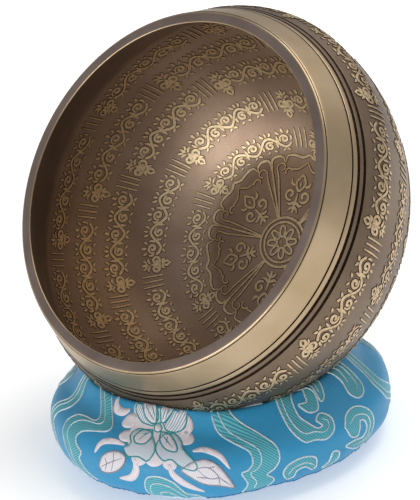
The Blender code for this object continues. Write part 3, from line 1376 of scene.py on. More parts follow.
    def build(self) -> None:
        """Make the bowl's body and every ring of relief on it."""
        shell = self.shell()
        self.settle(shell)
        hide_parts("bowl")
        bright_in = PlainBronze("polished_relief_inside", "#E8D2AE", "#CCB28C", 0.45).material()
        bright_out = PlainBronze("polished_relief_outside", "#D0B999", "#B29A7A", 0.45).material()
        # The dark sides and flat margin round each relief line are painted shade, the shadow outline round the
        # raised strokes.
        dark = PlainBronze("painted_shade_round_relief", "#4A3A2B", "#33261B", 0.5).material()
        section = Section(height=0.25, bevel=0.08, skirt=0.2, sink=0.12, crown=0.04)
        rows = [
            OrnamentRow(Side.INSIDE, 39.0, 8, -67.5, 0.88),
            OrnamentRow(Side.INSIDE, 54.7, 8, -94.0, 1.1),
            OrnamentRow(Side.INSIDE, 70.3, 8, -80.0, 1.12),
            OrnamentRow(Side.INSIDE, 87.6, 7, -66.0, 1.04),
            OrnamentRow(Side.INSIDE, 104.8, 5, -73.5, 0.96),
            OrnamentRow(Side.OUTSIDE, 22.7, 10, 94.5, 0.94),
            OrnamentRow(Side.OUTSIDE, 41.2, 9, 111.0, 0.96),
            OrnamentRow(Side.OUTSIDE, 59.1, 9, 95.0, 0.94),
            OrnamentRow(Side.OUTSIDE, 77.0, 7, 80.0, 0.94),
        ]
        counts = {Side.INSIDE: 0, Side.OUTSIDE: 0}
        for row in rows:
            wall = self.inside if row.side is Side.INSIDE else self.outside
            surface = RowSurface(wall, row.head, row.side is Side.OUTSIDE)
            counts[row.side] += 1
            name = f"relief_{row.side.value}_row_{counts[row.side]}"
            bright = bright_in if row.side is Side.INSIDE else bright_out
            thing = lay_strokes(name, row.strokes(surface), surface, section, bright, dark)
            self.settle(thing)
        floor = FloorSurface(self.inside)
        petals = FloorFlower().strokes()
        self.settle(lay_strokes("relief_floor_lotus", petals, floor, section, bright_in, dark))


# ---------------------------------------------------------------- the cushion


@dataclass
class CushionForm:
    """Section of the stuffed cushion before anything lies on it, in millimetres."""

    radius: float = 71.4
    height: float = 33.0
    widest: float = 13.8
    seam_height: float = 6.0
    crown_power: float = 3.1
    flat_radius: float = 42.0
    edge_power: float = 2.2

    def edge(self) -> np.ndarray:
        """Draw the rounded lower edge as radius and height, from the widest ring to the flat."""
        angle = np.linspace(0, math.pi / 2, 120)
        power = 2 / self.edge_power
        out = (self.radius - self.flat_radius) * np.clip(np.cos(angle), 0, 1) ** power
        return np.column_stack([self.flat_radius + out, self.widest * (1 - np.sin(angle) ** power)])

    def top_line(self) -> np.ndarray:
        """Draw the top panel as radius and height, from its middle over the side to the seam."""
        share = np.sin(np.linspace(0, math.pi / 2, 240))
        rise = np.clip(1 - share**self.crown_power, 0, 1) ** (1 / self.crown_power)
        crown = np.column_stack([self.radius * share, self.widest + (self.height - self.widest) * rise])
        edge = self.edge()
        return np.vstack([crown, edge[1:][edge[1:, 1] > self.seam_height]])

    def bottom_line(self) -> np.ndarray:
        """Draw the underside as radius and height, from the seam to its middle."""
        edge = self.edge()
        edge = edge[edge[:, 1] <= self.seam_height]
        return np.vstack([edge, np.linspace(edge[-1], (0.0, 0.0), 20)[1:]])


class ClothSurface(Surface):
    """The cushion's top panel, mapped by the flat millimetres of its cut."""

    def __init__(self, grid: np.ndarray, normals: np.ndarray, reach: float) -> None:
        """Keep the panel's shape.

        Args:
            grid: Positions in metres by ring and by step round.
            normals: Unit normals at the same places.
            reach: Flat radius of the last ring in millimetres.
        """
        self.grid = np.concatenate([grid, grid[:, :1]], 1)
        self.normals = np.concatenate([normals, normals[:, :1]], 1)
        self.reach = reach

    def place(self, flat: Path) -> tuple[np.ndarray, np.ndarray]:
        """Find where points of the flat cut lie; those past the seam stop at it.

        Args:
            flat: Points in millimetres from the panel's middle.

        Returns:
            Positions in metres, and outward unit normals.
        """
        rings, steps = self.grid.shape[0] - 1, self.grid.shape[1] - 1
        across = np.clip(np.hypot(flat[:, 0], flat[:, 1]) / self.reach, 0, 0.999) * rings
        around = (np.arctan2(flat[:, 1], flat[:, 0]) / (2 * math.pi) % 1.0) * steps
        i, j = across.astype(int), np.minimum(around.astype(int), steps - 1)
        s, t = (across - i)[:, None], (around - j)[:, None]

        def blend(table: np.ndarray) -> np.ndarray:
            """Mix the four nearest entries."""
            near = table[i, j] * (1 - t) + table[i, j + 1] * t
            far = table[i + 1, j] * (1 - t) + table[i + 1, j + 1] * t
            return near * (1 - s) + far * s

        return blend(self.grid), unit(blend(self.normals))


def ring_normals(grid: np.ndarray) -> np.ndarray:
    """Work out the unit normals of a ring grid whose first ring is its middle.

    Args:
        grid: Positions by ring and step.

    Returns:
        Normals by ring and step, up where the rings run outwards.
    """
    along = np.gradient(grid, axis=0)
    round_it = np.roll(grid, -1, 1) - np.roll(grid, 1, 1)
    normal = np.cross(along, round_it)
    normal[0] = normal[1].mean(0)
    return unit(normal)


def finer(grid: np.ndarray) -> np.ndarray:
    """Double a ring grid's steps both ways with smooth curves.

    Args:
        grid: Positions by ring and step.

    Returns:
        The finer grid.
    """

    def between(a: np.ndarray, b: np.ndarray, c: np.ndarray, d: np.ndarray) -> np.ndarray:
        """Middle of the smooth curve from b to c."""
        return (9 * (b + c) - a - d) / 16

    ends = np.concatenate([2 * grid[:1] - grid[1:2], grid, 2 * grid[-1:] - grid[-2:-1]])
    middle = between(ends[:-3], ends[1:-2], ends[2:-1], ends[3:])
    rows = np.empty((2 * len(grid) - 1, *grid.shape[1:]))
    rows[0::2], rows[1::2] = grid, middle
    result = np.empty((len(rows), 2 * grid.shape[1], 3))
    result[:, 0::2] = rows
    result[:, 1::2] = between(np.roll(rows, 1, 1), rows, np.roll(rows, -1, 1), np.roll(rows, -2, 1))
    return result


class Silk(Enum):
    """What a woven figure is filled with."""

    TEAL = "ribbed teal weft"
    WHITE = "long ivory floats"
    LILAC = "ivory hatch on teal"
    PETAL = "long pearl floats of a petal"
    LEAF = "long pearl floats of a leaf"


@dataclass
class Figure:
    """A woven figure: a filled outline and the threads drawn on it.

    Attributes:
        fill: Closed outline.
        threads: Lines of contour thread.
        kind: Silk that fills it.
    """

    fill: Path
    threads: list[Stroke]
    kind: Silk = Silk.TEAL

    def changed(self, change: Callable[[Path], Path]) -> "Figure":
        """Copy the figure with all its lines changed."""
        return Figure(change(self.fill), [t.moved(change) for t in self.threads], self.kind)

    def squeezed(self, base: float, share: float) -> "Figure":
        """Copy the figure with its heights over a base line reduced.

        Args:
            base: Height of the base line.
            share: Share of the heights that is kept.

        Returns:
            The new figure.
        """

        def change(path: Path) -> Path:
            """Squeeze a line towards the base."""
            height = path[:, 1] - base
            return np.column_stack([path[:, 0], base + np.where(height > 0, height * share, height)])

        return self.changed(change)

    def moved(self, turn: float, shift: Point, mirror: bool = False) -> "Figure":
        """Copy the figure to another place on the cloth.

        Args:
            turn: Turn about the cloth's middle in degrees.
            shift: Move after the turn.
            mirror: Whether to mirror it first, left for right.

        Returns:
            The new figure.
        """
        flip = -1.0 if mirror else 1.0
        return self.changed(lambda path: spin(path * (flip, 1.0), turn) + shift)


class Brocade:
    """The pattern of the cloth, in flat millimetres from the middle of the top panel."""

    contour = 0.75
    petal_thread = 1.15
    # The cover swells against the bowl and stretches what lies there, so the flower is
    # squeezed to this share above this line.
    flower_base = -70.0
    flower_share = 0.84

    @classmethod
    def ribbon(cls, left: Sequence[Point], right: Sequence[Point], inner: float = 0.38) -> Figure:
        """Draw a flowing ribbon between two edges, with one line inside it.

        Args:
            left: Points of one edge.
            right: Points of the other edge, in the same direction.
            inner: Share of the way across at which the inside line runs.

        Returns:
            The ribbon.
        """
        a, b = through(*left), through(*right)
        along = np.linspace(0, 1, 60)

        def even(path: Path) -> Path:
            """Space a line's points evenly."""
            length = np.r_[0, np.cumsum(np.hypot(*np.diff(path, axis=0).T))]
            return np.column_stack([np.interp(along * length[-1], length, path[:, k]) for k in (0, 1)])

        a, b = even(a), even(b)
        middle = a * (1 - inner) + b * inner
        threads = [Stroke(a, cls.contour), Stroke(b, cls.contour), Stroke(middle[3:-3], cls.contour * 0.8)]
        return Figure(np.vstack([a, b[::-1]]), threads)

    @classmethod
    def leaf(
        cls, outline: Sequence[Point], lines: Sequence[Sequence[Point]] = (), kind: Silk = Silk.TEAL
    ) -> Figure:
        """Draw a closed shape with its contour thread and the lines inside it.

        Args:
            outline: Points round its edge.
            lines: Points of each line inside it.
            kind: Silk that fills it.

        Returns:
            The shape.
        """
        edge = through(*outline, outline[0])[:-1]
        threads = [Stroke(edge, cls.contour, closed=True)]
        threads += [Stroke(through(*line), cls.contour * 0.85, (0.8, 0.6)) for line in lines]
        return Figure(edge, threads, kind)

    @classmethod
    def crescent(cls, *middle: Point, width: float) -> Figure:
        """Draw a sickle of white silk without a contour.

        Args:
            middle: Points along its middle.
            width: Greatest width.

        Returns:
            The sickle, blunt where it starts and pointed where it ends.
        """
        path = through(*middle)
        run = unit(np.gradient(path, axis=0))
        side = np.column_stack([-run[:, 1], run[:, 0]])
        share = np.linspace(0, 1, len(path))[:, None]
        half = width / 2 * np.sin(math.pi * np.clip(share * 0.93 + 0.05, 0, 1)) ** 0.7
        return Figure(np.vstack([path + side * half, (path - side * half)[::-1]]), [], Silk.WHITE)

    @classmethod
    def flower(cls) -> list[Figure]:
        """Draw the white flower.

        Returns:
            Its heart, scallops, hatched lobes, inner petals, leaves and sickles, from the cloth up.
        """
        heart = ((13.0, -44.6), (20.0, -43.0), (25.6, -47.4), (25.4, -55.0), (29.4, -60.4), (26.0, -66.6),
                 (19.6, -66), (13.6, -68.4), (7.4, -67.4), (3.6, -60.6), (2.4, -53.4), (5.4, -47))
        made = [Figure(through(*heart, heart[0])[:-1], [], Silk.WHITE)]
        for x, y, r in ((0.6, -54.6, 3.6), (3.4, -61.4, 3.9), (19.6, -67.2, 4.2), (13.4, -69.3, 3.8),
                        (26.6, -52.4, 3.9), (3.6, -49.4, 3.2), (24.4, -48.0, 3.4), (26.6, -66.6, 3.2)):
            made.append(Figure(oval((x, y), (r, r * 0.86), 25), [], Silk.WHITE))
        lobes = (
            ((12, -56), (6, -56.6), (4.4, -60.8), (6.6, -64.4), (4.8, -68), (8.2, -70.6),
             (12.8, -69.2), (17, -69.6), (18.4, -65.4), (16.8, -61)),
            ((17.6, -55.2), (21.4, -52.6), (26, -54.4), (29, -57.8), (36.4, -60.8), (36.6, -64),
             (31, -65.4), (26.4, -64.4), (23.4, -66.4), (19, -64), (17.2, -60)),
            ((15.6, -51.4), (18.4, -46.4), (17, -43.4), (20.6, -41.4), (23.4, -44), (24.6, -48.2),
             (22.4, -51.6), (18.2, -53)),
            ((11.6, -53.6), (6.2, -53.6), (1.6, -50.4), (2.4, -46.6), (6.6, -45.6), (10.4, -47.4), (13, -50.6)),
        )
        for lobe in lobes:
            made.append(cls.leaf(lobe, kind=Silk.LILAC))
        petals = (
            ((12.8, -52.4), (10.8, -48), (6.6, -46.4), (4.2, -48.2), (6.6, -51.4), (10.2, -52.8)),
            ((14.6, -51.4), (12.8, -47.4), (14.4, -43.6), (17.6, -43.6), (18, -47.4), (16.4, -50.6)),
            ((12.4, -55), (8.2, -56.6), (6.4, -60.6), (8.6, -63.6), (12.4, -62.6), (13.6, -58.6)),
            ((16, -54.4), (20.2, -53.8), (25.6, -57.6), (26.4, -60.4), (22, -61.2), (17.6, -58.2)),
        )
        veins = (
            (((11.6, -51.8), (8.2, -50.2), (5.8, -48.6)), ((11.4, -50.8), (9, -48.4))),
            (((14.9, -50.4), (15, -47.6), (15.6, -44.8)), ((16, -49.8), (16.6, -46.8))),
            (((12, -56), (10.2, -58.8), (9.2, -61.8)), ((11.2, -57), (8.6, -58.8))),
            (((17, -55.2), (20.6, -57.2), (24.6, -59.2)), ((19.6, -55.2), (21, -58.8))),
        )
        for petal, lines in zip(petals, veins):
            figure = cls.leaf(petal, lines, kind=Silk.PETAL)
            figure.threads = [t.moved(lambda path: path, cls.petal_thread) for t in figure.threads]
            made.append(figure)
        eye = ((14.0, -51.6), (15.8, -53.0), (15.2, -54.8), (13.4, -55.0), (12.4, -53.2))
        made.append(cls.leaf(eye, kind=Silk.PETAL))
        made.append(
            cls.leaf(
                ((35, -60.4), (38.6, -57), (44, -56.4), (50, -58.6), (54.6, -61.6), (49.4, -64),
                 (42.6, -67.4), (36, -67.6), (32, -66.4)),
                (((37, -62.6), (41.4, -59.4), (46.4, -60.8), (43, -63.8), (37, -62.6)),
                 ((41.4, -59.4), (43.4, -57.4)), ((46.4, -60.8), (53.4, -61.6)), ((43, -63.8), (38.6, -66)),
                 ((46.4, -60.8), (48.6, -63.8))),
                kind=Silk.LEAF,
            )
        )
        made.append(
            cls.leaf(
                ((-6.2, -77.4), (-3.6, -72.6), (1.6, -70.2), (6.6, -70.8), (7.2, -73.6), (4.4, -77.2),
                 (-0.6, -79.4), (-4.6, -79.4)),
                (((-5, -77.6), (0.4, -74.8), (6, -72)), ((-2.6, -73.6), (-1.6, -75.8), (-2.8, -78.6)),
                 ((1.2, -71), (1.8, -74.2), (0.8, -78.2))),
                kind=Silk.LEAF,
            )
        )
        made += [
            cls.crescent((4.6, -66.2), (-1.0, -66.0), (-6.0, -67.6), (-8.6, -72.6), width=3.2),
            cls.crescent((11.4, -70.4), (13.2, -74.6), (11.0, -78.6), (4.6, -80.6), width=3.4),
            cls.crescent((32.4, -56.4), (36.0, -53.2), (42.6, -52.4), (49.0, -55.0), width=3.0),
            cls.crescent((26.2, -66.8), (29.6, -70.4), (36.0, -71.8), (44.4, -71.0), width=3.0),
            cls.crescent((-9.6, -46.0), (-9.0, -50.0), (-4.6, -51.6), (-1.0, -50.6), width=3.0),
        ]
        return [figure.squeezed(cls.flower_base, cls.flower_share) for figure in made]

    @classmethod
    def ribbons(cls) -> list[Figure]:
        """Draw the two folded ribbons beside the flower, and the ribbon at the left edge."""
        return [
            cls.ribbon(
                ((-14, -42), (-20.4, -43.6), (-22.6, -46.2), (-18.4, -52), (-15.4, -57.2), (-17, -59),
                 (-23, -57.4), (-29, -56.6), (-33.4, -59.2), (-34.4, -63.6), (-32.4, -68.4), (-30.6, -72.6),
                 (-27, -77.6), (-20, -84)),
                ((-8.4, -44.4), (-13.4, -47.2), (-13.6, -49.8), (-10, -55), (-6.2, -60.2), (-7.2, -63.2),
                 (-13.6, -64), (-19.6, -64.8), (-22.2, -67.4), (-20.8, -70.4), (-17.2, -73.2), (-19.6, -75.4),
                 (-17.6, -79), (-11, -85)),
            ),
            cls.ribbon(
                ((37.6, -31.8), (31.2, -37), (30.6, -40.8), (32.2, -44.4), (37, -47.4), (45, -48),
                 (52, -47.8), (55.4, -50.4), (55.6, -53.6), (54, -56.4), (59, -58.4), (60.6, -64.4)),
                ((46.6, -30), (43, -34.2), (37.4, -38.4), (39.4, -41), (45, -41), (51, -39.8),
                 (58.6, -39.2), (63.2, -42.2), (64.4, -46.6), (63.6, -50.4), (68, -49.6), (70, -55)),
                0.33,
            ),
            cls.ribbon(
                ((-29.6, -39.2), (-37, -38.4), (-40, -42.8), (-43, -47), (-49, -48.6), (-53, -53),
                 (-52, -60), (-50, -68)),
                ((-28.4, -41.6), (-33.4, -41.6), (-34.6, -47), (-37.6, -52.2), (-44, -54), (-47, -57),
                 (-45.6, -62), (-43, -72)),
            ),
        ]

    @classmethod
    def clouds(cls) -> list[Figure]:
        """Draw the curled clouds and hooks that lie between the ribbons."""
        shapes = (
            (
                ((44, -16), (46, -21.4), (50, -25.8), (55.4, -28.8), (61, -30.4), (66, -29.6),
                 (68.2, -25.6), (71, -21.6), (70.4, -16.4), (66.4, -13.6), (62.8, -15.6), (63.4, -19.2),
                 (66.2, -19), (65.6, -21.6), (61.6, -22.8), (58, -23.4), (53.4, -20.8), (51.8, -17),
                 (54.4, -13.4), (50, -13)),
                (((46.8, -17.4), (49.6, -22.6), (54.4, -26.2), (60.4, -27.8), (64, -26.8), (65.8, -23.6),
                  (68.4, -20.6), (68.2, -17.4), (66.2, -15.8), (64.6, -17)),),
            ),
            (
                ((53, -13.4), (57.6, -11.6), (61.4, -15), (60.2, -19), (56.4, -20.4), (57.6, -17),
                 (55.4, -15.2)),
                (),
            ),
            (
                ((46.4, -9.6), (50.6, -6.2), (56, -6), (60, -8.8), (60.4, -11.8), (56, -10.4),
                 (51.0, -10.2)),
                (((48.6, -8.8), (53, -7.8), (58.4, -9.8)),),
            ),
            (
                ((72.6, -11.6), (69.4, -7.4), (69.2, -1), (72.6, 4.4), (77.6, 6.6), (82.2, 4.4), (85, -1.6),
                 (84.4, -8), (79.6, -14.4), (80, -8.8), (81.4, -3.2), (79.4, 0.4), (76, 0.2), (74.6, -2.6),
                 (77.2, -4.2), (79.2, -6.6), (77.4, -10.4)),
                (((73, -8.4), (72, -3.2), (74.6, 2.4), (78.8, 3.4), (82.6, 0.2), (83, -5),
                  (81.4, -10.4)),),
            ),
            (
                ((77.8, -31.2), (74, -29.8), (70, -34), (67.8, -40), (68.8, -44.8), (73, -45.4),
                 (74.2, -42.4), (72.4, -39.6), (74, -35.6), (78, -33.4)),
                (((76.4, -31.8), (72.6, -34.6), (70.4, -40), (71.2, -43.6)),),
            ),
            (
                ((80.6, -24.6), (77.6, -21.6), (79.4, -18.6), (82.4, -20), (83.6, -24.6), (81.6, -28.4)),
                (),
            ),
            (
                ((20, -88), (17.8, -80.4), (18.8, -76), (24, -73.8), (31, -73.8), (37.4, -76.2),
                 (43, -75.2), (48, -78), (40, -84), (30, -88)),
                (((21, -86), (20.6, -79.2), (25, -76.6), (31.4, -76.6), (38, -79)),
                 ((25.6, -86), (25.4, -81.4), (29.6, -79.4), (34.4, -81.2))),
            ),
            (
                ((47, 2), (50.6, 8), (56.4, 12), (62.4, 12.6), (66.6, 9.2), (67.6, 4.4), (64.6, 2),
                 (60, 3.4), (55, 1.4), (50.6, 0.6)),
                (((49.6, 3.2), (53, 7.4), (58, 9.8), (63, 9.4), (65.4, 5.8)),
                 ((52.6, 4), (57, 6.4), (61.4, 6))),
            ),
            (
                ((-55, -14), (-60, -10.4), (-65.4, -12.8), (-66.4, -18.4), (-70.6, -21.6), (-69.8, -27.4),
                 (-65, -29.6), (-62, -34.4), (-56.6, -34.6), (-53.4, -30.4), (-56, -25.6), (-51.4, -22.6),
                 (-50.6, -17.4)),
                (((-57, -15.8), (-61.4, -18.4), (-60.4, -23.6), (-64.6, -25.8)),
                 ((-60.4, -23.6), (-57, -28.4), (-58.4, -32.4))),
            ),
        )
        made = [cls.leaf(outline, lines) for outline, lines in shapes]
        made.append(
            cls.ribbon(
                ((52, 17), (60, 19), (67, 18), (73, 22), (74, 30), (78, 40)),
                ((50, 22), (57, 25), (64, 25), (67, 29), (68, 36), (70, 46)),
            )
        )
        return made

    @classmethod
    def whole(cls) -> list[Figure]:
        """Draw the top panel's figures.

        Returns:
            The near half, then its repeat on the far half with a mirrored flower and a ribbon
            beside it, as the loom repeats them.
        """
        near = cls.ribbons() + cls.clouds() + cls.flower()
        far = cls.ribbons() + cls.flower() + [cls.clouds()[k] for k in (0, 1, 2, 4, 6)]
        return (
            near
            + [f.moved(172.0, (-6.0, 6.0)) for f in far]
            + [f.moved(118.0, (-40.0, 32.0), True) for f in cls.flower()]
            + [f.moved(60.0, (-47.0, 42.0)) for f in cls.ribbons()[:1]]
        )


class Cushion:
    """The stuffed round cushion, its brocade and its sewing."""

    rings = 58
    under_rings = 34
    steps = 240
    # Where the stuffing pushes the side out or leaves it slack: angle and width in
    # degrees, then millimetres.
    bulges = (
        (-57.0, 9.0, 1.3), (-37.0, 8.0, -2.2), (-22.0, 10.0, -1.5), (14.0, 10.0, 1.4), (-142.0, 14.0, 1.8),
        (-86.0, 9.0, -0.6), (60.0, 12.0, -1.0), (95.0, 12.0, 1.0), (128.0, 10.0, -1.2), (165.0, 12.0, 0.9),
    )
    # Waves of the puckers at the seam: number round, size in millimetres, phase in radians.
    puckers = ((31, 0.5, 0.3), (43, 0.42, 2.2), (58, 0.34, 4.0), (71, 0.22, 1.1))
    pucker_reach = 4.0
    # The bowl squeezes the stuffing up round it. Height of that swelling, how far below the
    # bowl it is greatest, and its width, in millimetres.
    swelling = (9.0, 3.0, 11.0)
    # Gap between cloth and bowl, and the rounding where the cloth meets the dent.
    clearance = 0.35
    rounding = 2.2
    # Heights of the floor's points between which the bowl's underside is looked for.
    search = (4.0, 90.0, 0.25)
    # How the panels' edges turn in at the seam: inwards and past it, in millimetres.
    turned_in = ((0.5, 0.35), (1.3, 0.5), (3.0, 0.5))
    seam_radius = 67.0
    thread_radius = 0.16
    cover_gap = 2.0

    def __init__(self, bowl: Bowl) -> None:
        """Take the bowl that lies on it."""
        self.form = CushionForm()
        self.bowl = bowl
        self.unlean = np.array(bowl.matrix.inverted())
        outside = bowl.form.outside()
        self.bowl_depths = outside[:, 1]
        self.bowl_radii = outside[:, 0]

    def under_bowl(self, x: np.ndarray, y: np.ndarray) -> np.ndarray:
        """Height of the bowl's underside over points of the floor, in millimetres.

        Args:
            x: First coordinates in millimetres.
            y: Second coordinates in millimetres.

        Returns:
            Heights, or the top of the search where the bowl isn't over the point.
        """
        levels = np.arange(*self.search)
        best = np.full(x.shape, self.search[1])
        rotation, shift = self.unlean[:3, :3], self.unlean[:3, 3] / MM
        for level in levels[::-1]:
            at = np.stack([x, y, np.full(x.shape, level)], -1) @ rotation.T + shift
            depth = -at[..., 2]
            limit = np.interp(depth, self.bowl_depths, self.bowl_radii, left=-1, right=-1)
            gap = np.hypot(at[..., 0], at[..., 1]) - limit
            best = np.where(gap < 0, level, best)
        return best

    def shaped(self, radius: np.ndarray, height: np.ndarray, near_seam: np.ndarray) -> np.ndarray:
        """Give the cloth its lumps, puckers, bulge and dent.

        Args:
            radius: Radius of each ring in millimetres.
            height: Height of each ring.
            near_seam: Flat distance of each ring from the seam.

        Returns:
            Positions in millimetres by ring and by step.
        """
        angle = np.arange(self.steps) * 2 * math.pi / self.steps
        r, z = radius[:, None], height[:, None]
        far = np.clip(r / self.form.radius, 0, 1) ** 2
        outline = (
            1.0 * np.cos(2 * angle + 0.9) + 0.7 * np.cos(3 * angle - 0.5) + 0.5 * np.cos(5 * angle + 2.1)
        )[None, :]
        for middle, width, size in self.bulges:
            turn = (np.degrees(angle) - middle + 180) % 360 - 180
            outline += (size * np.exp(-((turn / width) ** 2)))[None, :]
        swell = far * outline * 0.8
        soft = 0.35 * np.sin(7 * angle + 1.3)[None, :] * np.sin(r / 9.0) + 0.3 * np.sin(
            4 * angle[None, :] + r / 13.0
        ) * np.sin(r / 14.0 + 0.6)
        fold = np.zeros_like(angle)
        for waves, size, phase in self.puckers:
            fold += size * np.sin(waves * angle + phase + 1.7 * np.sin(3 * angle + phase))
        pucker = fold[None, :] * 0.4 * np.exp(-near_seam[:, None] / self.pucker_reach)
        out = swell + pucker
        x = (r + out) * np.cos(angle)
        y = (r + out) * np.sin(angle)
        lift = np.clip((z - self.form.widest) / (self.form.height - self.form.widest), 0, 1)
        z = z + soft * lift * 1.4 - np.abs(pucker) * 0.15
        under = self.under_bowl(x, y)
        high, gap, width = self.swelling
        z = z + high * np.exp(-(((under - z - gap) / width) ** 2)) * lift
        limit = under - self.clearance
        close = np.clip((self.rounding - np.abs(z - limit)) / self.rounding, 0, 1)
        z = np.minimum(z, limit) - close * close * self.rounding / 4
        return np.stack([x, y, np.maximum(z, 0.0)], -1)

    def settle(self, thing: Piece, slot: str) -> None:
        """Let a piece ride with the cushion and report it."""
        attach(thing, "cushion")
        report(thing)

    def panel(self, line: np.ndarray, rings: int, downward: bool) -> tuple[np.ndarray, float]:
        """Shape one panel from its section.

        Args:
            line: Radius and height, from middle to seam.
            rings: Number of rings.
            downward: Whether the panel is the underside.

        Returns:
            Positions in metres by ring and step, and the panel's flat radius.
        """
        length = arc_length(line)
        at = np.linspace(0, length[-1], rings)
        radius = np.interp(at, length, line[:, 0])
        height = np.interp(at, length, line[:, 1])
        grid = self.shaped(radius, height, length[-1] - at)
        if downward:
            grid[..., 2] = np.minimum(grid[..., 2], height[:, None] + 1.0)
        grid[0] = grid[0].mean(0)
        return grid * MM, float(length[-1])

    def grid_object(self, name: str, grid: np.ndarray, reach: float, material: Material, flip: bool) -> Piece:
        """Make a mesh from a ring grid, with the cloth's flat map.

        Args:
            name: Piece name.
            grid: Positions by ring and step, the first ring the middle.
            reach: Flat radius of the last ring in millimetres.
            material: Its material.
            flip: Whether the outside is below.

        Returns:
            The object.
        """
        rings, steps = grid.shape[:2]
        points = np.vstack([grid[0, :1], grid[1:].reshape(-1, 3)])
        k = np.arange(steps)
        n = (k + 1) % steps
        faces = [(0, 1 + a, 1 + b) for a, b in zip(k.tolist(), n.tolist())]
        for ring in range(1, rings - 1):
            start = 1 + (ring - 1) * steps
            a, b, c, d = start + k, start + steps + k, start + steps + n, start + n
            faces.extend(zip(a.tolist(), b.tolist(), c.tolist(), d.tolist()))
        if flip:
            faces = [face[::-1] for face in faces]
        thing = mesh_object(name, points, faces, [material])
        angle = k * 2 * math.pi / steps
        across = np.linspace(0, reach, rings)[1:, None] * MM
        flat = np.stack([across * np.cos(angle), across * np.sin(angle)], -1).reshape(-1, 2)
        store_map(thing, np.vstack([[(0.0, 0.0)], flat]))
        return thing

    def rolled_in(self, grid: np.ndarray, side: float) -> np.ndarray:
        """Turn the edge of a panel in at the seam.

        Args:
            grid: Positions by ring and step in metres.
            side: 1 for the panel above the seam, -1 for the one below.

        Returns:
            The grid with rings added that curl inwards.
        """
        edge = grid[-1]
        inward = -unit(edge * (1.0, 1.0, 0.0))
        rows = [grid]
        for reach, drop in self.turned_in:
            ring = edge + inward * reach * MM
            ring[:, 2] -= side * drop * MM
            rows.append(ring[None])
        return np.concatenate(rows)

    def stitch(self, points: np.ndarray, radius: float, sides: int = 6) -> tuple[np.ndarray, list]:
        """Make one short thread with round ends.

        Args:
            points: Its line in metres.
            radius: Its radius in metres.
            sides: Number of sides.

        Returns:
            Vertices and faces.
        """
        run = unit(np.gradient(points, axis=0))
        first = unit(np.cross(run, (0.0, 0.0, 1.0) + 0.01 * run))
        second = np.cross(run, first)
        turn = np.arange(sides) * 2 * math.pi / sides
        wide = radius * np.sqrt(np.clip(1 - np.linspace(-0.97, 0.97, len(points)) ** 6, 0, 1))[:, None, None]
        ring = points[:, None] + wide * (
            first[:, None] * np.cos(turn)[None, :, None] + second[:, None] * np.sin(turn)[None, :, None]
        )
        count = len(points)
        faces = [list(range(sides))[::-1], [(count - 1) * sides + k for k in range(sides)]]
        for i in range(count - 1):
            for k in range(sides):
                n = (k + 1) % sides
                faces.append([i * sides + k, i * sides + n, (i + 1) * sides + n, (i + 1) * sides + k])
        return ring.reshape(-1, 3), faces

    def seam_ring(self, top: np.ndarray, angle: float) -> np.ndarray:
        """Find a place on the seam.

        Args:
            top: The top panel's grid.
            angle: Angle in radians.

        Returns:
            Its position in metres.
        """
        where = angle / (2 * math.pi) % 1.0 * top.shape[1]
        j = int(where) % top.shape[1]
        share = where - int(where)
        return top[-1, j] * (1 - share) + top[-1, (j + 1) % top.shape[1]] * share

    def stitches(
        self, name: str, top: np.ndarray, angles: Point, pitch: float, slant: float, thread: SpunThread
    ) -> Piece:
        """Sew a row of stitches across the seam's valley.

        Args:
            name: Piece name.
            top: The top panel's grid.
            angles: First and last angle in degrees.
            pitch: Distance between stitches in millimetres.
            slant: How far each runs along the seam in millimetres.
            thread: Finish of the thread.

        Returns:
            The row as one object.
        """
        start, end = map(math.radians, angles)
        count = int((end - start) * self.seam_radius / pitch)
        points, faces, base = [], [], 0
        for i in range(count):
            a = start + (end - start) * (i + 0.5) / count
            lean = slant / self.seam_radius / 2
            upper, lower = self.seam_ring(top, a - lean), self.seam_ring(top, a + lean)
            outward = unit((upper * (1.0, 1.0, 0.0))[None])[0]
            upper = upper + (0.0, 0.0, 0.5 * MM) + outward * 0.35 * MM
            lower = lower - (0.0, 0.0, 0.7 * MM) - outward * 0.35 * MM
            t = np.linspace(0, 1, 6)[:, None]
            bow = np.sin(math.pi * t) * 0.18 * MM
            line = upper * (1 - t) + lower * t + outward * bow
            at, sides = self.stitch(line, self.thread_radius * MM)
            points.append(at)
            faces += [[v + base for v in face] for face in sides]
            base += len(at)
        return mesh_object(name, np.vstack(points), faces, [thread.material()])

    def build(self) -> None:
        """Make the covers, the filling, the woven pattern and the sewing."""
        top_line, bottom_line = self.form.top_line(), self.form.bottom_line()[::-1]
        top, reach = self.panel(top_line, self.rings, False)
        bottom, under_reach = self.panel(bottom_line, self.under_rings, True)
        top, bottom = finer(top), finer(bottom)
        bottom[-1] = top[-1] - (0.0, 0.0, self.turned_in[0][1] * MM)
        surface = ClothSurface(top, ring_normals(top), reach)
        ground = BrocadeSilk(
            "sky_blue_satin_ground", "#2A92C2", "#268CBB", 0.45, line_mm=1.0, line_share=0.9, sheen=0.05
        )
        under = BrocadeSilk(
            "sky_blue_satin_underside", "#2380B3", "#207BAC", 0.5, line_mm=1.0, line_share=0.9, sheen=0.05
        )
        upper = self.rolled_in(top, 1.0)
        cover = self.grid_object("cushion_cover_top", upper, reach, ground.material(), False)
        self.settle(cover, "brocade_top")
        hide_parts("cushion_top_panel")
        lower = self.rolled_in(bottom, -1.0)
        base = self.grid_object("cushion_cover_underside", lower, under_reach, under.material(), True)
        self.settle(base, "brocade_underside")
        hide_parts("cushion_bottom_panel")
        self.fill(top, bottom)
        self.weave(surface)
        self.sew(top)

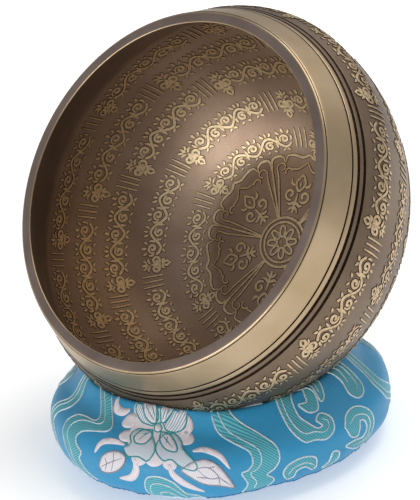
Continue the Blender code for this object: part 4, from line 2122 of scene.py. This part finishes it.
    def fill(self, top: np.ndarray, bottom: np.ndarray) -> None:
        """Stuff the cover with fibre that follows it from inside.

        Args:
            top: The top panel's grid.
            bottom: The underside's grid.
        """
        fibre = SpunThread("polyester_fibre_fill", "#E9E8E2", "#CFCEC6", 0.9, twist_mm=2.0).material()
        upper, lower = top[::4, ::4], bottom[::4, ::4]
        up = upper - ring_normals(upper) * self.cover_gap * MM
        down = lower + ring_normals(lower) * self.cover_gap * MM
        steps = up.shape[1]
        whole = np.concatenate([up, down[::-1]])
        points = whole.reshape(-1, 3)
        k = np.arange(steps)
        n = (k + 1) % steps
        faces = []
        for ring in range(len(whole) - 1):
            a = ring * steps
            corners = (a + k, a + steps + k, a + steps + n, a + n)
            faces.extend(zip(*(corner.tolist() for corner in corners)))
        thing = mesh_object("cushion_fibre_filling", points, faces, [fibre])
        self.settle(thing, "fibre_filling")
        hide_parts("cushion_filling")

    def weave(self, surface: ClothSurface) -> None:
        """Lay the woven figures and their contour threads on the cloth.

        Args:
            surface: The top panel.
        """
        # Height over the cloth in millimetres and silk of each kind of figure.
        silks = {
            Silk.TEAL: (0.10, BrocadeSilk(
                "teal_ribbed_weft", "#5CB8C8", "#34869A", 0.5, line_mm=0.95, slant=1.35, sheen=0.1
            )),
            Silk.WHITE: (0.14, BrocadeSilk(
                "ivory_weft_float", "#E6E0E6", "#D3CBD6", 0.5, line_mm=0.8, line_share=0.8, sheen=0.1
            )),
            Silk.LILAC: (0.18, BrocadeSilk(
                "ivory_hatch_on_teal", "#E9E3EC", "#86AFBE", 0.5, line_mm=0.9, slant=0.35, sheen=0.1
            )),
            Silk.PETAL: (0.24, BrocadeSilk(
                "pearl_petal_float", "#E9E4EA", "#C7C3D3", 0.45, line_mm=1.0, line_share=0.7, sheen=0.1
            )),
            Silk.LEAF: (0.20, BrocadeSilk(
                "pearl_leaf_float", "#E4E1E6", "#CFCBD6", 0.45, line_mm=0.8, line_share=0.7, sheen=0.1
            )),
        }
        figures = Brocade.whole()
        for kind, (lift, silk) in silks.items():
            outlines = [f.fill for f in figures if f.kind is kind]
            patch = lay_patches(f"brocade_{silk.name}", outlines, surface, lift, silk.material())
            self.settle(patch, "brocade_top")
        silver = SpunThread("silver_contour_thread", "#D9E4EA", "#B0CBD5", 0.42, 0.25, 0.6)
        teal = SpunThread("teal_contour_thread", "#2FA0A6", "#23808A", 0.45, 0.1, 0.6)
        grey = SpunThread("grey_vein_thread", "#8E93A3", "#737A8C", 0.5, 0.1, 0.6)
        section = Section(height=0.3, bevel=0.18, skirt=0.0, sink=0.1, crown=0.05)
        for name, kinds, thread in (
            ("brocade_silver_contours", (Silk.TEAL,), silver.material()),
            ("brocade_teal_contours", (Silk.LILAC, Silk.PETAL), teal.material()),
            ("brocade_grey_veins", (Silk.LEAF,), grey.material()),
        ):
            strokes = [t for f in figures if f.kind in kinds for t in f.threads]
            lines = lay_strokes(name, strokes, surface, section, thread, thread, flat_map=True)
            self.settle(lines, "brocade_top")

    def sew(self, top: np.ndarray) -> None:
        """Sew the machine seam and the ladder stitches that close the back.

        Args:
            top: The top panel's grid.
        """
        polyester = SpunThread("blue_polyester_thread", "#2F86B5", "#1F6A98", 0.5)
        cotton = SpunThread("blue_hand_thread", "#4B97C0", "#2F789F", 0.6)
        machine = self.stitches("seam_machine_stitches", top, (111.0, 429.0), 2.4, 0.5, polyester)
        self.settle(machine, "seam_thread")
        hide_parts("seam_thread")
        hand = self.stitches("seam_closing_stitches", top, (71.5, 108.5), 3.4, 1.6, cotton)
        self.settle(hand, "closing_thread")
        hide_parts("closing_thread")


# ---------------------------------------------------------------- the studio


@dataclass
class Studio:
    """Pale floor, soft lights and the camera, in metres and degrees."""

    target: Vector = field(default_factory=lambda: Vector((0.0326, -0.0326, 0.0983)))
    distance: float = 0.560
    azimuth: float = 40.1
    elevation: float = 21.0
    roll: float = -7.66
    lens: float = 107.9
    floor_half: float = 4.0
    floor_drop: float = 0.0003
    sweep_radius: float = 0.9
    sweep_glow: Point = (0.38, 0.7)
    pool_middle: Point = (0.0, -0.75)
    pool_radius: float = 0.45
    pool_glow: float = 2.5
    room_glow: float = 0.44

    def camera(self) -> None:
        """Place the camera by its direction from the target, and roll it."""
        a, e = math.radians(self.azimuth), math.radians(self.elevation)
        back = Vector((math.sin(a) * math.cos(e), -math.cos(a) * math.cos(e), math.sin(e)))
        data = bpy.data.cameras.new("camera")
        data.lens = self.lens
        data.sensor_width = 36.0
        data.clip_start = 0.01
        data.clip_end = 20.0
        camera = bpy.data.objects.new("camera", data)
        bpy.context.scene.collection.objects.link(camera)
        level = (-back).to_track_quat("-Z", "Y").to_matrix().to_4x4()
        turn = Matrix.Rotation(math.radians(self.roll), 4, "Z")
        camera.matrix_world = Matrix.Translation(self.target + back * self.distance) @ level @ turn
        bpy.context.scene.camera = camera

    def floor(self) -> None:
        """Lay a wide pale floor just under the cushion."""
        material, tree, shader = new_material("pale_studio_floor")
        place = add_node(tree, "TexCoord", out="Object")
        # Faint mottle of painted paper, about 110 mm across.
        mottle = add_node(tree, "TexNoise", {"Vector": place, "Scale": 9.0})
        tone = add_node(
            tree, "ValToRGB", {"Fac": mottle}, stops=((0.3, linear("#F7F7F7")), (0.7, linear("#FAFAFA")))
        )
        tree.links.new(tone, shader.inputs["Base Color"])
        shader.inputs["Roughness"].default_value = 0.9
        # The sweep glows a little: less round the object, more at its rim, and most
        # in a pool on the floor in front that shines up into the bowl.
        far = self.glow(tree, place, (0.0, 0.0), self.sweep_radius, self.sweep_glow)
        pool = self.glow(tree, place, self.pool_middle, self.pool_radius, (self.pool_glow, 0.0))
        both = add_node(tree, "Math", {0: far, 1: pool}, operation="ADD")
        shader.inputs["Emission Color"].default_value = linear("#FFFFFF")
        tree.links.new(both, shader.inputs["Emission Strength"])
        half, drop = self.floor_half, -self.floor_drop
        corners = [(-half, -half, drop), (half, -half, drop), (half, half, drop), (-half, half, drop)]
        floor = mesh_object("studio_floor", np.array(corners), [(0, 1, 2, 3)], [material])

    def glow(self, tree: Tree, place: Socket, middle: Point, radius: float, ends: Point) -> Socket:
        """Light that changes evenly from the middle of a round patch of floor to its rim.

        Args:
            tree: Node tree of the floor.
            place: Socket with the position in metres.
            middle: Middle of the patch in metres.
            radius: Radius of the patch in metres.
            ends: Strength in the middle and beyond the rim.

        Returns:
            Socket with the strength.
        """
        shift = (-middle[0] / radius, -middle[1] / radius, 0.0)
        at = add_node(tree, "Mapping", {"Vector": place, "Scale": (1 / radius,) * 3, "Location": shift})
        fall = add_node(tree, "TexGradient", {"Vector": at}, out="Fac", gradient_type="SPHERICAL")
        levels = {"Value": fall, "From Max": 0.6, "To Min": ends[1], "To Max": ends[0]}
        return add_node(tree, "MapRange", levels)

    def softbox(self, name: str, place: Sequence[float], size: Point, power: float, warmth: str) -> None:
        """Hang one soft light that faces the bowl.

        Args:
            name: Its name.
            place: Where it hangs, in metres.
            size: Width and height in metres.
            power: Its power in watts.
            warmth: Its colour.
        """
        data = bpy.data.lights.new(name, "AREA")
        data.shape = "RECTANGLE"
        data.size, data.size_y = size
        data.energy = power
        data.color = linear(warmth)[:3]
        light = bpy.data.objects.new(name, data)
        light.location = place
        light.rotation_euler = (self.target - Vector(place)).to_track_quat("-Z", "Y").to_euler()
        bpy.context.scene.collection.objects.link(light)

    def lights(self) -> None:
        """Hang the lights and set the room's glow."""
        self.softbox("front_low", (0.05, -1.30, 0.08), (1.2, 0.4), 7.6, "#FFFDF8")
        self.softbox("right_side", (1.40, -0.10, 0.25), (0.9, 0.5), 0.15, "#FFFAF2")
        self.softbox("overhead", (0.25, 0.40, 1.25), (0.9, 0.9), 8.0, "#FFFFFF")
        world = bpy.data.worlds.new("white_room")
        world.use_nodes = True
        bpy.context.scene.world = world
        tree = world.node_tree
        tree.nodes.clear()
        seen = add_node(tree, "LightPath", out="Is Camera Ray")
        strength = add_node(tree, "MapRange", {"Value": seen, "To Min": self.room_glow, "To Max": 1.0})
        white = {"Color": linear("#FFFFFF"), "Strength": strength}
        glow = add_node(tree, "Background", white)
        add_node(tree, "OutputWorld", {"Surface": glow})
        bpy.context.scene.view_settings.view_transform = "Standard"

    def build(self) -> None:
        """Set up everything that isn't the object."""
        self.camera()
        self.floor()
        self.lights()


def main() -> None:
    """Build the set."""
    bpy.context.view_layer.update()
    Studio().build()
    bowl = Bowl()
    bowl.build()
    Cushion(bowl).build()


if __name__ == "__main__":
    logging.basicConfig(level=logging.INFO)
    main()
